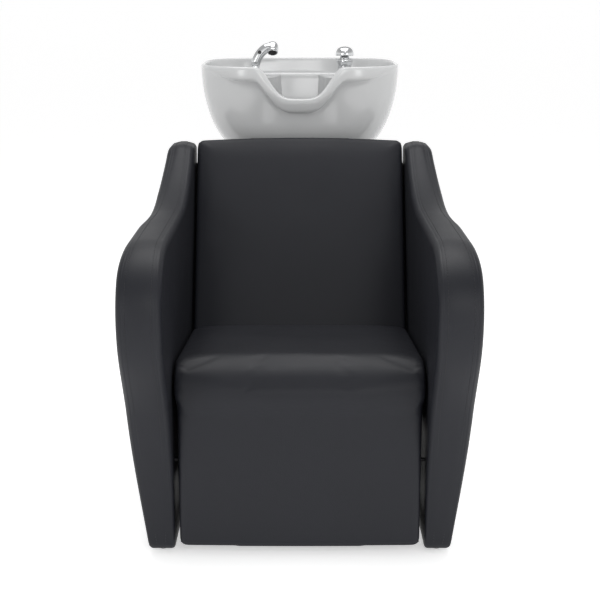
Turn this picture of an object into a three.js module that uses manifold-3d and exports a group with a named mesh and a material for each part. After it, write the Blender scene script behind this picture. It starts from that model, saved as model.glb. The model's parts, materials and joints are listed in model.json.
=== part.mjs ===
// Shampoo backwash unit: an upholstered armchair carrying a tilting ceramic basin on a rear pedestal.
// Millimetres, +Z up, +Y towards the basin, +X to the right of someone facing the seat.
// Every Y below is a station: the distance behind the foremost point of the arms. The unit group then
// moves everything forward by half the overall depth, so the origin is on the floor under the middle.

import * as THREE from "three";
import { mergeVertices } from "three/addons/utils/BufferGeometryUtils.js";
import Module from "manifold-3d";

const wasm = await Module();
wasm.setup();

// ---------------------------------------------------------------- driving dimensions

const seat_gap = 0.3; // between pieces that touch
const running_gap = 0.4; // round a pin that something turns on

const seat_width = 520; // between the arms' inner faces
const seat_height = 418; // top of the cushion at its front
const seat_drop = 46; // how much lower the cushion is at the back
const seat_depth = 503; // cushion's front to the backrest
const seat_nose_radius = 65;
const cushion_thickness = 118;
const cushion_side_gap = 2;
const apron_side_gap = 16;
const apron_thickness = 28;
const apron_ground_gap = 33;
const board_thickness = 12;

const back_lean = THREE.MathUtils.degToRad(27);
const back_height = 488; // along the lean, from the seat to the top
const back_side_gap = 4;
const back_foam = 50;
const back_edge_radius = 16;
const back_tube = 25;

const arm_thickness = 88; // at the armrest's front
const arm_rear_thickness = 74;
const arm_foot_thickness = 52;
const arm_top_thickness = 62;
const arm_reach = 146; // arms' front ahead of the cushion's front
const arm_top_drop = 18; // arms' top below the backrest's
const arm_rest_height = 672;
const arm_nose_height = 540; // height of the foremost point
const arm_foot_setback = 158;
const arm_ground_gap = 12;
const arm_rear_width = 63; // arm's top behind the backrest's top edge
const arm_core_thickness = 18;
const arm_core_inset = 20; // from the arm's inner face
const arm_core_margin = 34; // from the arm's outline

const tube = 30; // square tube of the welded base
const base_ground_gap = 22;
const rail_spacing = 200; // between the two spine rails' centres

const rim_height = 978;
const basin_width = 514;
const basin_depth = 440;
const basin_height = 243;
const basin_squareness = 3.2; // exponent of the plan's superellipse
const basin_foot = 0.5; // the flat underside, as a share of the plan
const basin_floor = 16;
const basin_lip = 11; // rim's width at the sides and rear
const basin_overlap = 18; // rim's front behind the backrest's top edge
const front_lip_height = 34;
const front_lip_width = 26;
const rim_fall = 7; // how much lower the rim is at its front than at its rear
const front_lip_reach = 20; // how far the front lip stands out from the wall
const ledge_drop = 44; // tap ledge below the rim
const deck_thickness = 12;
const notch_depth = 78;
const notch_half_width = 118;
const waste_hole_radius = 24;
const waste_offset = 40; // waste behind the middle of the basin
const tap_spacing = 122; // hand spray and mixer from the centre line
const tap_offset = 116; // taps behind the middle of the basin
const tap_hole_radius = 14;

const pedestal_width = 280;
const pedestal_depth = 290;
const pedestal_height = 650;
const sheet = 2.5;
const pivot_height = 690;
const pivot_radius = 6;
const lug_spacing = 145; // between the middles of the bracket's lugs
const plate = 5;

// ---------------------------------------------------------------- worked-out places

const inner_face = seat_width / 2;
const arm_outer = inner_face + arm_thickness;
const back_foot = { y: arm_reach + seat_depth, z: seat_height - seat_drop };
const seat_floor = seat_height - cushion_thickness;

/** A point of the backrest: `behind` its front face, `up` its height. */
function back_point(behind, up) {
  return {
    y: back_foot.y + up * Math.sin(back_lean) + behind * Math.cos(back_lean),
    z: back_foot.z + up * Math.cos(back_lean) - behind * Math.sin(back_lean),
  };
}

const back_top = back_point(0, back_height);
const arm_top = back_top.z - arm_top_drop;
const arm_rear = back_top.y + arm_rear_width;
const arm_rear_foot = arm_rear - 50;
const rim_front = back_top.y + basin_overlap;
const overall_depth = rim_front + basin_depth;
const basin_middle = rim_front + basin_depth / 2;
const basin_bottom = rim_height - basin_height;
const pivot_y = basin_middle - 40;
const waste_y = basin_middle + waste_offset;
const tap_y = basin_middle + tap_offset;
const deck = rim_height - ledge_drop;
const deck_underside = deck - deck_thickness;
const pedestal_front = basin_middle - 135;
const pedestal_back = pedestal_front + pedestal_depth;
const base_top = base_ground_gap + tube;

// ---------------------------------------------------------------- materials

const finish = (color, roughness, metalness) =>
  new THREE.MeshStandardMaterial({ color, roughness, metalness });
const black_vinyl = finish(0x2b2c30, 0.5, 0);
const glazed_ceramic = finish(0xe4e6e6, 0.12, 0);
const chrome = finish(0xd8dadc, 0.12, 1);
const black_steel = finish(0x1d1e20, 0.55, 0.6);
const zinc_steel = finish(0xa9adb1, 0.4, 1);
const plywood = finish(0xc29a66, 0.8, 0);
const black_rubber = finish(0x161616, 0.85, 0);
const white_plastic = finish(0xdedfdd, 0.45, 0);
const black_plastic = finish(0x1a1a1b, 0.5, 0);

// ---------------------------------------------------------------- solids

/** A closed three.js geometry as a manifold-3d solid. */
function solid(geometry) {
  const bare = geometry.index ? geometry.toNonIndexed() : geometry.clone();
  bare.deleteAttribute("normal");
  bare.deleteAttribute("uv");
  const merged = mergeVertices(bare, 1e-3);
  return new wasm.Manifold(
    new wasm.Mesh({
      numProp: 3,
      vertProperties: merged.attributes.position.array,
      triVerts: new Uint32Array(merged.index.array),
    }),
  );
}

/** A manifold-3d solid as a three.js geometry. */
function geometry_of(made) {
  const mesh = made.getMesh();
  const geometry = new THREE.BufferGeometry();
  geometry.setAttribute("position", new THREE.BufferAttribute(mesh.vertProperties, 3));
  geometry.setIndex(new THREE.BufferAttribute(mesh.triVerts, 1));
  return geometry;
}

const join = (...pieces) =>
  geometry_of(pieces.map(solid).reduce((a, b) => a.add(b)));
const cut = (whole, ...tools) =>
  geometry_of([whole, ...tools].map(solid).reduce((a, b) => a.subtract(b)));
const common = (a, b) => geometry_of(solid(a).intersect(solid(b)));

/** A box between two corners. */
function box(x0, y0, z0, x1, y1, z1) {
  return new THREE.BoxGeometry(x1 - x0, y1 - y0, z1 - z0).translate(
    (x0 + x1) / 2,
    (y0 + y1) / 2,
    (z0 + z1) / 2,
  );
}

/** An outline drawn in Y and Z, extruded along X from x0 to x1. */
function prism_x(outline, x0, x1, curveSegments = 8) {
  const geometry = new THREE.ExtrudeGeometry(outline, {
    depth: x1 - x0,
    bevelEnabled: false,
    curveSegments,
  });
  const across = new THREE.Vector3(1, 0, 0);
  const back = new THREE.Vector3(0, 1, 0);
  const up = new THREE.Vector3(0, 0, 1);
  return geometry
    .applyMatrix4(new THREE.Matrix4().makeBasis(back, up, across))
    .translate(x0, 0, 0);
}

/** An outline drawn in X and Z, extruded along Y from y0 to y1. */
function prism_y(outline, y0, y1, curveSegments = 8) {
  return new THREE.ExtrudeGeometry(outline, {
    depth: y1 - y0,
    bevelEnabled: false,
    curveSegments,
  })
    .rotateX(Math.PI / 2)
    .translate(0, y1, 0);
}

/** An outline drawn in X and Y, extruded along Z from z0 to z1. */
function prism_z(outline, z0, z1, curveSegments = 6) {
  return new THREE.ExtrudeGeometry(outline, {
    depth: z1 - z0,
    bevelEnabled: false,
    curveSegments,
  }).translate(0, 0, z0);
}

/** A closed outline through points given as {y, z}. */
function outline_of(points) {
  const shape = new THREE.Shape();
  points.forEach((p, i) => (i ? shape.lineTo(p.y, p.z) : shape.moveTo(p.y, p.z)));
  shape.closePath();
  return shape;
}

/** A rectangle with round corners, centred on (x, y). */
function round_rectangle(width, depth, radius, x = 0, y = 0) {
  const shape = new THREE.Shape();
  const w = width / 2 - radius;
  const d = depth / 2 - radius;
  shape.absarc(x + w, y - d, radius, -Math.PI / 2, 0);
  shape.absarc(x + w, y + d, radius, 0, Math.PI / 2);
  shape.absarc(x - w, y + d, radius, Math.PI / 2, Math.PI);
  shape.absarc(x - w, y - d, radius, Math.PI, 1.5 * Math.PI);
  shape.closePath();
  return shape;
}

/** A cylinder standing on z0. */
function rod_z(radius, x, y, z0, z1, segments = 18) {
  return new THREE.CylinderGeometry(radius, radius, z1 - z0, segments)
    .rotateX(Math.PI / 2)
    .translate(x, y, (z0 + z1) / 2);
}

/** A cylinder lying along X. */
function rod_x(radius, x0, x1, y, z, segments = 14) {
  return new THREE.CylinderGeometry(radius, radius, Math.abs(x1 - x0), segments)
    .rotateZ(Math.PI / 2)
    .translate((x0 + x1) / 2, y, z);
}

/** A cylinder lying along Y. */
function rod_y(radius, x, y0, y1, z, segments = 14) {
  return new THREE.CylinderGeometry(radius, radius, y1 - y0, segments).translate(
    x,
    (y0 + y1) / 2,
    z,
  );
}

/** A body of revolution about a vertical axis: profile points are [radius, height]. */
function turned(profile, x, y, segments = 20) {
  const points = profile.map(([r, z]) => new THREE.Vector2(r, z));
  return new THREE.LatheGeometry(points, segments)
    .rotateX(Math.PI / 2)
    .translate(x, y, 0);
}

const unit = new THREE.Group();

/** Adds a named piece to the unit, or to a sub-assembly. */
function add(name, geometry, material, parent = unit) {
  const mesh = new THREE.Mesh(geometry, material);
  mesh.name = name;
  parent.add(mesh);
  return mesh;
}

const sides = [
  { name: "left", sign: -1 },
  { name: "right", sign: 1 },
];

/** The same shape on the other side when sign is -1. */
function mirrored(geometry, sign) {
  if (sign > 0) return geometry;
  const flipped = geometry_of(solid(geometry)).scale(-1, 1, 1);
  const index = flipped.index.array;
  for (let i = 0; i < index.length; i += 3) {
    [index[i + 1], index[i + 2]] = [index[i + 2], index[i + 1]];
  }
  return flipped;
}

// ---------------------------------------------------------------- welded steel base

const leg_x = inner_face - 25; // middle of the base's legs
const leg_front = arm_reach + 50;
const leg_rear = back_foot.y - 65;
const spine_x = rail_spacing / 2;
const bolt_radius = 4;
const arm_bolt_height = seat_floor - 100;

/** A square tube between two corners given by its centre line. */
function tube_y(x, y0, y1, z) {
  return box(x - tube / 2, y0, z - tube / 2, x + tube / 2, y1, z + tube / 2);
}
function tube_x(x0, x1, y, z) {
  return box(x0, y - tube / 2, z - tube / 2, x1, y + tube / 2, z + tube / 2);
}
function tube_z(x, y, z0, z1) {
  return box(x - tube / 2, y - tube / 2, z0, x + tube / 2, y + tube / 2, z1);
}

function base_frame() {
  const low = base_ground_gap + tube / 2;
  const high = seat_floor - board_thickness - tube / 2;
  const half = leg_x + tube / 2;
  const bars = [];
  for (const { sign } of sides) {
    const x = sign * leg_x;
    bars.push(tube_y(x, leg_front - tube / 2, leg_rear + tube / 2, low));
    bars.push(tube_y(x, leg_front - tube / 2, leg_rear + tube / 2, high));
    bars.push(tube_z(x, leg_front, low, high), tube_z(x, leg_rear, low, high));
    bars.push(tube_y(sign * spine_x, leg_front, pedestal_back - 12, low));
  }
  for (const y of [leg_front, leg_rear]) {
    bars.push(tube_x(-half, half, y, low), tube_x(-half, half, y, high));
  }
  bars.push(tube_x(-spine_x - tube / 2, spine_x + tube / 2, pedestal_back - 12 - tube / 2, low));
  const holes = sides.flatMap(({ sign }) =>
    [leg_front, leg_rear].map((y) =>
      rod_x(bolt_radius + seat_gap, sign * (leg_x - tube), sign * (leg_x + tube), y, arm_bolt_height, 12),
    ),
  );
  return cut(join(...bars), ...holes);
}

add("base_frame", base_frame(), black_steel);

/** Two leaning uprights and two ties that carry the backrest, standing on the base's rear cross tube. */
function back_frame() {
  const front = back_foam + board_thickness + 2 * seat_gap;
  const rear = front + back_tube;
  const top = back_height - 150;
  const foot_z = base_top + seat_gap;
  const up_at = (behind) => (foot_z - back_foot.z + behind * Math.sin(back_lean)) / Math.cos(back_lean);
  const upright = outline_of([
    back_point(front, up_at(front)),
    back_point(rear, up_at(rear)),
    back_point(rear, top),
    back_point(front, top),
  ]);
  const tie = (up) =>
    outline_of([
      back_point(front, up),
      back_point(rear, up),
      back_point(rear, up + back_tube),
      back_point(front, up + back_tube),
    ]);
  const half = inner_face - 80;
  return join(
    prism_x(upright, half - back_tube, half),
    prism_x(upright, -half, back_tube - half),
    prism_x(tie(top - back_tube), -half, half),
    prism_x(tie(20), -half, half),
  );
}

add("back_frame", back_frame(), black_steel);

// ---------------------------------------------------------------- seat

function seat_cushion() {
  const half = inner_face - cushion_side_gap;
  const front = arm_reach;
  const lower = seat_floor + 40;
  const step = front + apron_thickness + 8;
  const slope = seat_drop / (seat_depth - seat_nose_radius);
  const back_at = (z) => back_foot.y - seat_gap + (z - back_foot.z) * Math.tan(back_lean);
  const shape = new THREE.Shape();
  shape.moveTo(front + 4, lower);
  shape.lineTo(step, lower);
  shape.lineTo(step, seat_floor + seat_gap);
  shape.lineTo(back_at(seat_floor), seat_floor + seat_gap);
  shape.lineTo(back_at(back_foot.z), back_foot.z);
  shape.lineTo(front + seat_nose_radius, seat_height - slope);
  shape.absarc(front + seat_nose_radius, seat_height - slope - seat_nose_radius,
    seat_nose_radius, Math.PI / 2, Math.PI);
  shape.closePath();
  return prism_x(shape, -half, half, 8);
}

add("seat_cushion", seat_cushion(), black_vinyl);

const apron_half = inner_face - apron_side_gap;
add(
  "front_apron",
  box(-apron_half, arm_reach + 4, apron_ground_gap, apron_half,
    arm_reach + 4 + apron_thickness, seat_floor + 40 - seat_gap),
  black_vinyl,
);

add(
  "seat_board",
  box(-inner_face + 12, arm_reach + apron_thickness + 8, seat_floor - board_thickness + seat_gap,
    inner_face - 12, leg_rear + tube / 2, seat_floor),
  plywood,
);

// ---------------------------------------------------------------- backrest

/** A slab of the backrest between two depths behind its face and two heights up its lean. */
function back_slab(half, behind0, behind1, up0, up1) {
  return prism_x(
    outline_of([
      back_point(behind0, up0),
      back_point(behind1, up0),
      back_point(behind1, up1),
      back_point(behind0, up1),
    ]),
    -half,
    half,
  );
}

function back_cushion() {
  const half = inner_face - back_side_gap;
  const slab = new THREE.ExtrudeGeometry(
    round_rectangle(2 * half, back_height + 70, back_edge_radius, 0, (back_height - 70) / 2),
    { depth: back_foam, bevelEnabled: false, curveSegments: 5 },
  );
  return slab
    .rotateX(Math.PI / 2)
    .translate(0, back_foam, 0)
    .rotateX(-back_lean)
    .translate(0, back_foot.y, back_foot.z);
}

add("back_cushion", back_cushion(), black_vinyl);
add(
  "back_board",
  back_slab(inner_face - 20, back_foam + seat_gap, back_foam + seat_gap + board_thickness, -50, back_height - 22),
  plywood,
);

function rear_panel() {
  const thickness = 14;
  const top = back_point(back_foam + board_thickness + 4, back_height - 50);
  const foot = { y: arm_rear_foot - thickness - 2, z: base_top + 8 };
  return prism_x(
    outline_of([
      foot,
      { y: foot.y + thickness, z: foot.z },
      { y: top.y + thickness, z: top.z },
      top,
    ]),
    seat_gap - inner_face,
    inner_face - seat_gap,
  );
}

add("rear_panel", rear_panel(), black_vinyl);

// ---------------------------------------------------------------- arms

/** The arm's side outline, `inset` inside the upholstered one. */
function arm_outline(inset = 0) {
  const foot = arm_ground_gap;
  const shape = new THREE.Shape();
  const front = inset;
  const rest = arm_rest_height - inset;
  const nose = arm_nose_height;
  const top = arm_top - inset;
  const rear = arm_rear - inset;
  const brow = back_top.y - 55; // where the arm's slope reaches its top
  shape.moveTo(arm_foot_setback + inset, foot);
  shape.bezierCurveTo(
    arm_foot_setback + inset + 2, foot + 130,
    arm_foot_setback + inset - 26, foot + 230,
    98 + front, foot + 318,
  );
  shape.bezierCurveTo(60 + front, foot + 400, front, nose - 90, front, nose);
  shape.bezierCurveTo(front, nose + 70, 60 + front / 2, rest, 160 + front / 2, rest);
  shape.lineTo(brow - 340, rest + 2);
  shape.bezierCurveTo(brow - 190, rest + 4, brow - 110, rest + 40, brow - 20 + inset / 2, top - 20);
  shape.quadraticCurveTo(brow + inset / 2, top, brow + 25 + inset / 2, top);
  shape.lineTo(rear - 25, top);
  shape.quadraticCurveTo(rear, top, rear - 2, top - 25);
  shape.lineTo(arm_rear_foot - inset, foot);
  shape.closePath();
  return shape;
}

/** The arm seen from the front: straight inside, bowed outside. */
function arm_section() {
  const shape = new THREE.Shape();
  const foot = inner_face + arm_foot_thickness;
  const top = inner_face + arm_top_thickness;
  shape.moveTo(inner_face, 0);
  shape.lineTo(foot, 0);
  shape.bezierCurveTo(foot + 18, 120, arm_outer, 230, arm_outer, 400);
  shape.lineTo(arm_outer, arm_rest_height - 60);
  shape.bezierCurveTo(arm_outer, arm_rest_height - 10, top + 12, arm_rest_height, top + 11, arm_rest_height + 25);
  shape.lineTo(top, arm_top + 10);
  shape.lineTo(inner_face, arm_top + 10);
  shape.closePath();
  return shape;
}

/** The arm seen from above: its outside draws in towards the rear. */
function arm_plan() {
  const rear = inner_face + arm_rear_thickness;
  const shape = new THREE.Shape();
  shape.moveTo(inner_face, -5);
  shape.lineTo(arm_outer, -5);
  shape.lineTo(arm_outer, arm_reach + 40);
  shape.bezierCurveTo(arm_outer, arm_reach + 170, rear, arm_reach + 200, rear, arm_reach + 340);
  shape.lineTo(rear, arm_rear + 5);
  shape.lineTo(inner_face, arm_rear + 5);
  shape.closePath();
  return shape;
}

const core_low = inner_face + arm_core_inset;
const core_high = core_low + arm_core_thickness;

function arm_core() {
  return prism_x(arm_outline(arm_core_margin), core_low, core_high, 4);
}

function arm_cover() {
  const body = common(
    prism_x(arm_outline(), inner_face, arm_outer + 5, 8),
    common(prism_y(arm_section(), -5, arm_rear + 5, 6), prism_z(arm_plan(), -5, arm_top + 5, 5)),
  );
  const room = prism_x(arm_outline(arm_core_margin - 1), core_low - seat_gap, core_high + seat_gap, 4);
  const below = box(core_low - seat_gap, arm_foot_setback + arm_core_margin - 1, 0,
    core_high + seat_gap, arm_rear_foot - arm_core_margin + 1, arm_ground_gap + 40);
  const bolts = [leg_front, leg_rear].map((y) =>
    rod_x(bolt_radius + seat_gap, inner_face - 5, core_low + 2, y, arm_bolt_height, 12),
  );
  return cut(body, room, below, ...bolts);
}

/** The plywood core, drilled for its bolts. */
function drilled_core() {
  return cut(
    arm_core(),
    ...[leg_front, leg_rear].map((y) =>
      rod_x(bolt_radius + seat_gap, core_low - 2, core_high - 2, y, arm_bolt_height, 12),
    ),
  );
}

/** Bolt from the inside of a base leg into the arm's core. */
function arm_bolt(y) {
  const leg_inside = leg_x - tube / 2 - seat_gap;
  return join(
    rod_x(7, leg_inside - 5, leg_inside, y, arm_bolt_height, 6),
    rod_x(bolt_radius, leg_inside - 1, core_high - 4, y, arm_bolt_height, 12),
  );
}

/** Nylon glide nailed under the core. */
function glide(y) {
  return turned(
    [[0, 0], [11, 0], [14, 3], [14, arm_ground_gap - seat_gap], [0, arm_ground_gap - seat_gap]],
    core_low + arm_core_thickness / 2,
    y,
    12,
  );
}

for (const { name, sign } of sides) {
  add(`arm_cover_${name}`, mirrored(arm_cover(), sign), black_vinyl);
  add(`arm_core_${name}`, mirrored(drilled_core(), sign), plywood);
  add(`arm_bolt_front_${name}`, mirrored(arm_bolt(leg_front), sign), zinc_steel);
  add(`arm_bolt_rear_${name}`, mirrored(arm_bolt(leg_rear), sign), zinc_steel);
  add(`glide_front_${name}`, mirrored(glide(arm_foot_setback + arm_core_margin + 16), sign), black_plastic);
  add(`glide_rear_${name}`, mirrored(glide(arm_rear_foot - arm_core_margin - 16), sign), black_plastic);
}

// ---------------------------------------------------------------- pedestal and column

const post = 40;
const post_x = spine_x - 5;
const column_top = pedestal_height - 10;
const cheek_x = lug_spacing / 2 + plate / 2 + 3; // inner face of a cheek
const cheek = 6;

function column() {
  const base_z = base_top + seat_gap;
  const pieces = [
    box(-125, pedestal_front + 15, base_z, 125, pedestal_back - 15, base_z + 6),
    box(-post_x - post / 2, pivot_y - post / 2, column_top - 6, post_x + post / 2, pivot_y + post / 2, column_top),
  ];
  for (const { sign } of sides) {
    const x = sign * post_x;
    pieces.push(box(x - post / 2, pivot_y - post / 2, base_z, x + post / 2, pivot_y + post / 2, column_top));
    const ear = new THREE.Shape();
    ear.moveTo(pivot_y - 30, column_top - 2);
    ear.lineTo(pivot_y + 30, column_top - 2);
    ear.lineTo(pivot_y + 30, pivot_height);
    ear.absarc(pivot_y, pivot_height, 30, 0, Math.PI);
    ear.closePath();
    const inner = sign > 0 ? cheek_x : -cheek_x - cheek;
    pieces.push(prism_x(ear, inner, inner + cheek, 6));
  }
  const bores = sides.map(({ sign }) =>
    rod_x(pivot_radius + seat_gap, sign * (cheek_x - 2), sign * (cheek_x + cheek + 2), pivot_y, pivot_height),
  );
  return cut(join(...pieces), ...bores);
}

add("column", column(), black_steel);

const shell_foot = base_ground_gap + 3;
const panel_half = pedestal_width / 2 - 8;
const screw_places = [
  { name: "low_left", x: -1, z: 0 },
  { name: "low_right", x: 1, z: 0 },
  { name: "high_left", x: -1, z: 1 },
  { name: "high_right", x: 1, z: 1 },
].map(({ name, x, z }) => ({
  name,
  x: x * (panel_half - 6),
  z: z ? pedestal_height - 24 : base_top + 24,
}));

function pedestal_shell() {
  const middle = (pedestal_front + pedestal_back) / 2;
  const outer = prism_z(round_rectangle(pedestal_width, pedestal_depth, 30, 0, middle),
    shell_foot, pedestal_height, 4);
  const inner = prism_z(round_rectangle(pedestal_width - 2 * sheet, pedestal_depth - 2 * sheet,
    30 - sheet, 0, middle), shell_foot - 5, pedestal_height - sheet, 4);
  const rear = box(-panel_half + 14, pedestal_back - 20, shell_foot - 5,
    panel_half - 14, pedestal_back + 5, pedestal_height - 12);
  const top = prism_z(round_rectangle(2 * (post_x + post / 2 + 6), 196, 12, 0, pivot_y + 63),
    pedestal_height - 10, pedestal_height + 5, 3);
  const rails = sides.map(({ sign }) =>
    box(sign * spine_x - tube / 2 - 1, pedestal_front - 5, 0,
      sign * spine_x + tube / 2 + 1, pedestal_front + 20, base_top + seat_gap),
  );
  const screws = screw_places.map(({ x, z }) => rod_y(2.8, x, pedestal_back - 8, pedestal_back + 3, z, 10));
  return cut(outer, inner, rear, top, ...rails, ...screws);
}

add("pedestal_shell", pedestal_shell(), black_steel);

function access_panel() {
  const slab = box(-panel_half, pedestal_back + seat_gap, base_top + 12,
    panel_half, pedestal_back + seat_gap + sheet, pedestal_height - 12);
  const screws = screw_places.map(({ x, z }) => rod_y(2.8, x, pedestal_back - 2, pedestal_back + 8, z, 10));
  const slot = (z) => box(-55, pedestal_back - 2, z, 55, pedestal_back + 8, z + 7);
  const outlet = rod_y(26, 0, pedestal_back - 2, pedestal_back + 8, 150, 20);
  return cut(slab, ...screws, slot(540), slot(520), slot(500), outlet);
}

add("access_panel", access_panel(), black_steel);

for (const { name, x, z } of screw_places) {
  const outside = pedestal_back + seat_gap + sheet + seat_gap;
  add(
    `panel_screw_${name}`,
    join(rod_y(2.5, x, pedestal_back - 7, outside + 1, z, 10), rod_y(5, x, outside, outside + 3, z, 12)),
    zinc_steel,
  );
}

for (const [row, y] of [["front", pedestal_front + 32], ["rear", pedestal_back - 40]]) {
  for (const { name, sign } of sides) {
    add(
      `level_foot_${row}_${name}`,
      turned(
        [[0, 0], [17, 0], [18, 2], [18, 7], [7, 11], [7, base_ground_gap - seat_gap], [0, base_ground_gap - seat_gap]],
        sign * spine_x,
        y,
        12,
      ),
      black_plastic,
    );
  }
}

// ---------------------------------------------------------------- tilt pivot and its lock

const lug_x = lug_spacing / 2; // middle of a lug
const sleeve_end = pedestal_width / 2 + 12;
const lever_hub = 14;
const lever_start = sleeve_end + running_gap;
const lever_end = lever_start + lever_hub;

for (const { name, sign } of sides) {
  const inside = lug_x - plate / 2 - 4;
  const outside = sign > 0 ? lever_end + running_gap : cheek_x + cheek + seat_gap;
  const bolt = join(
    rod_x(pivot_radius, inside, outside + 1, pivot_y, pivot_height),
    rod_x(11, outside, outside + 8, pivot_y, pivot_height, 6),
  );
  add(`pivot_bolt_${name}`, mirrored(bolt, sign), zinc_steel);
  const washer = cut(
    rod_x(15, lug_x + plate / 2 + seat_gap, cheek_x - seat_gap, pivot_y, pivot_height, 20),
    rod_x(pivot_radius + seat_gap, lug_x, cheek_x + 2, pivot_y, pivot_height),
  );
  add(`friction_washer_${name}`, mirrored(washer, sign), white_plastic);
}

add(
  "lock_sleeve",
  cut(
    rod_x(10, cheek_x + cheek + seat_gap, sleeve_end, pivot_y, pivot_height, 20),
    rod_x(pivot_radius + seat_gap, cheek_x, sleeve_end + 2, pivot_y, pivot_height),
  ),
  zinc_steel,
);

const lever_length = 112;
function lock_lever() {
  const bar = new THREE.Shape();
  bar.moveTo(pivot_y, pivot_height - 9);
  bar.lineTo(pivot_y + lever_length, pivot_height - 6);
  bar.absarc(pivot_y + lever_length, pivot_height, 6, -Math.PI / 2, Math.PI / 2);
  bar.lineTo(pivot_y, pivot_height + 9);
  bar.closePath();
  return cut(
    join(
      rod_x(14, lever_start, lever_end, pivot_y, pivot_height, 24),
      prism_x(bar, lever_start + 4, lever_start + 10, 4),
    ),
    rod_x(pivot_radius + running_gap, lever_start - 2, lever_end + 2, pivot_y, pivot_height),
  );
}

add("lock_lever", lock_lever(), zinc_steel);
add(
  "lock_knob",
  cut(
    new THREE.SphereGeometry(15, 12, 8).translate(lever_start + 7, pivot_y + lever_length + 6, pivot_height),
    box(lever_start + 4 - seat_gap, pivot_y, pivot_height - 7, lever_start + 10 + seat_gap,
      pivot_y + lever_length + 6 + seat_gap, pivot_height + 7),
  ),
  black_plastic,
);

// ---------------------------------------------------------------- basin

const columns = 54;
const half_width = basin_width / 2;
const half_depth = basin_depth / 2;

/** 0 below a, 1 above b and a smooth rise between. */
function ramp(a, b, value) {
  return THREE.MathUtils.smoothstep(value, a, b);
}

/** Distance from the basin's middle to its plan outline in a direction. */
function plan_radius(angle) {
  const across = Math.abs(Math.cos(angle)) / half_width;
  const along = Math.abs(Math.sin(angle)) / half_depth;
  return Math.pow(across ** basin_squareness + along ** basin_squareness, -1 / basin_squareness);
}

/** The measures of the basin's wall in one direction from its middle. */
function basin_column(angle) {
  const radius = plan_radius(angle);
  const x = radius * Math.cos(angle);
  const to_front = -Math.sin(angle);
  const in_notch = to_front > 0 ? Math.min(1, Math.abs(x) / notch_half_width) : 1;
  const forward = (1 + (radius / half_depth) * to_front) / 2;
  const rim = rim_height - rim_fall * forward - (notch_depth * (1 + Math.cos(Math.PI * in_notch ** 2))) / 2;
  const front = ramp(0.45, 0.85, to_front);
  const corner = Math.min(1, Math.abs(Math.abs(Math.PI / 2 - angle) - deck_direction) / deck_spread);
  const is_rear = Math.sin(angle) > 0 ? 1 : 0;
  const shelf = (is_rear * (1 + Math.cos(Math.PI * corner ** 1.6))) / 2;
  return { angle, radius, rim, front, shelf };
}

const deck_direction = Math.atan2(tap_spacing + 8, tap_offset); // from straight back
const deck_spread = 0.72;
const deck_reach = 0.52; // how far a deck comes in towards the middle
const inner_foot = basin_foot - 0.11;

/** Share of the plan that the outside reaches at a height. */
function outer_share(z) {
  const t = Math.min(1, (z - basin_bottom) / (0.93 * basin_height));
  return basin_foot + (1 - basin_foot) * Math.sqrt(1 - (1 - t) ** 2);
}

/** Profile of one column as [radius, height], from the underside's middle over the rim to the floor's middle. */
function basin_profile({ radius, rim, front, shelf }) {
  const reach = front_lip_reach * front;
  const lip = basin_lip + (front_lip_width - basin_lip) * front;
  const lip_foot = rim - 8 - (front_lip_height - 8) * front;
  const ledge = Math.min(deck, rim - 18);
  const wall_out = (z) => radius * outer_share(z) - reach;
  const ledge_in = Math.min(1 - shelf * deck_reach, 1 - (lip + 14) / radius);
  const floor = basin_bottom + basin_floor;
  const points = [[0, basin_bottom], [radius * basin_foot, basin_bottom]];
  for (const share of [0.07, 0.2, 0.42, 0.72, 0.97]) {
    const z = basin_bottom + (lip_foot - basin_bottom) * share;
    points.push([wall_out(z) + reach * (1 - ramp(0.1, 0.7, share)) * 0.75, z]);
  }
  points.push([radius * outer_share(lip_foot) - 1, lip_foot]);
  points.push([radius * outer_share(rim) , lip_foot + 5 + 10 * front], [radius - 1, rim - 4]);
  points.push([radius - 4, rim], [radius - lip + 3, rim], [radius - lip, rim - 4]);
  points.push([radius - lip - 4, ledge + 3], [radius - lip - 8, ledge]);
  points.push([radius * ledge_in, ledge]);
  for (const share of [0.92, 0.5, 0.22, 0.06, 0]) {
    const z = floor + (ledge - floor) * share;
    const bulge = Math.sqrt(1 - (1 - share) ** 2);
    points.push([radius * (inner_foot + (ledge_in - inner_foot) * bulge), z]);
  }
  points.push([0, floor - 3]);
  return points;
}

/** A closed skin through profiles that share their first and last points. */
function skin_of(profiles, x, y) {
  const rows = profiles[0].points.length;
  const positions = [];
  const triangles = [];
  const at = (i, j) => (i % profiles.length) * rows + j;
  profiles.forEach(({ angle, points }) =>
    points.forEach(([r, z]) => positions.push(x + r * Math.cos(angle), y + r * Math.sin(angle), z)),
  );
  for (let i = 0; i < profiles.length; i += 1) {
    for (let j = 0; j < rows - 1; j += 1) {
      if (j > 0) triangles.push(at(i, j), at(i + 1, j), at(i, j + 1));
      if (j < rows - 2) triangles.push(at(i + 1, j), at(i + 1, j + 1), at(i, j + 1));
    }
  }
  const geometry = new THREE.BufferGeometry();
  geometry.setAttribute("position", new THREE.Float32BufferAttribute(positions, 3));
  geometry.setIndex(triangles);
  return geometry;
}

function basin() {
  const profiles = Array.from({ length: columns }, (_, i) => {
    const angle = (2 * Math.PI * i) / columns - Math.PI / 2;
    const turned_angle = angle > Math.PI ? angle - 2 * Math.PI : angle;
    return { angle, points: basin_profile(basin_column(turned_angle)) };
  });
  const tools = [rod_z(waste_hole_radius, 0, waste_y, basin_bottom - 5, basin_bottom + basin_floor + 5, 22)];
  for (const { sign } of sides) {
    const x = sign * tap_spacing;
    tools.push(rod_z(tap_hole_radius, x, tap_y, deck_underside - 5, deck + 5, 20));
    tools.push(prism_z(round_rectangle(64, 64, 14, x + sign * 6, tap_y), basin_bottom - 5, deck_underside, 4));
  }
  return cut(skin_of(profiles, 0, basin_middle), ...tools);
}

add("basin", basin(), glazed_ceramic);

// ---------------------------------------------------------------- basin's tilting bracket

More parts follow.
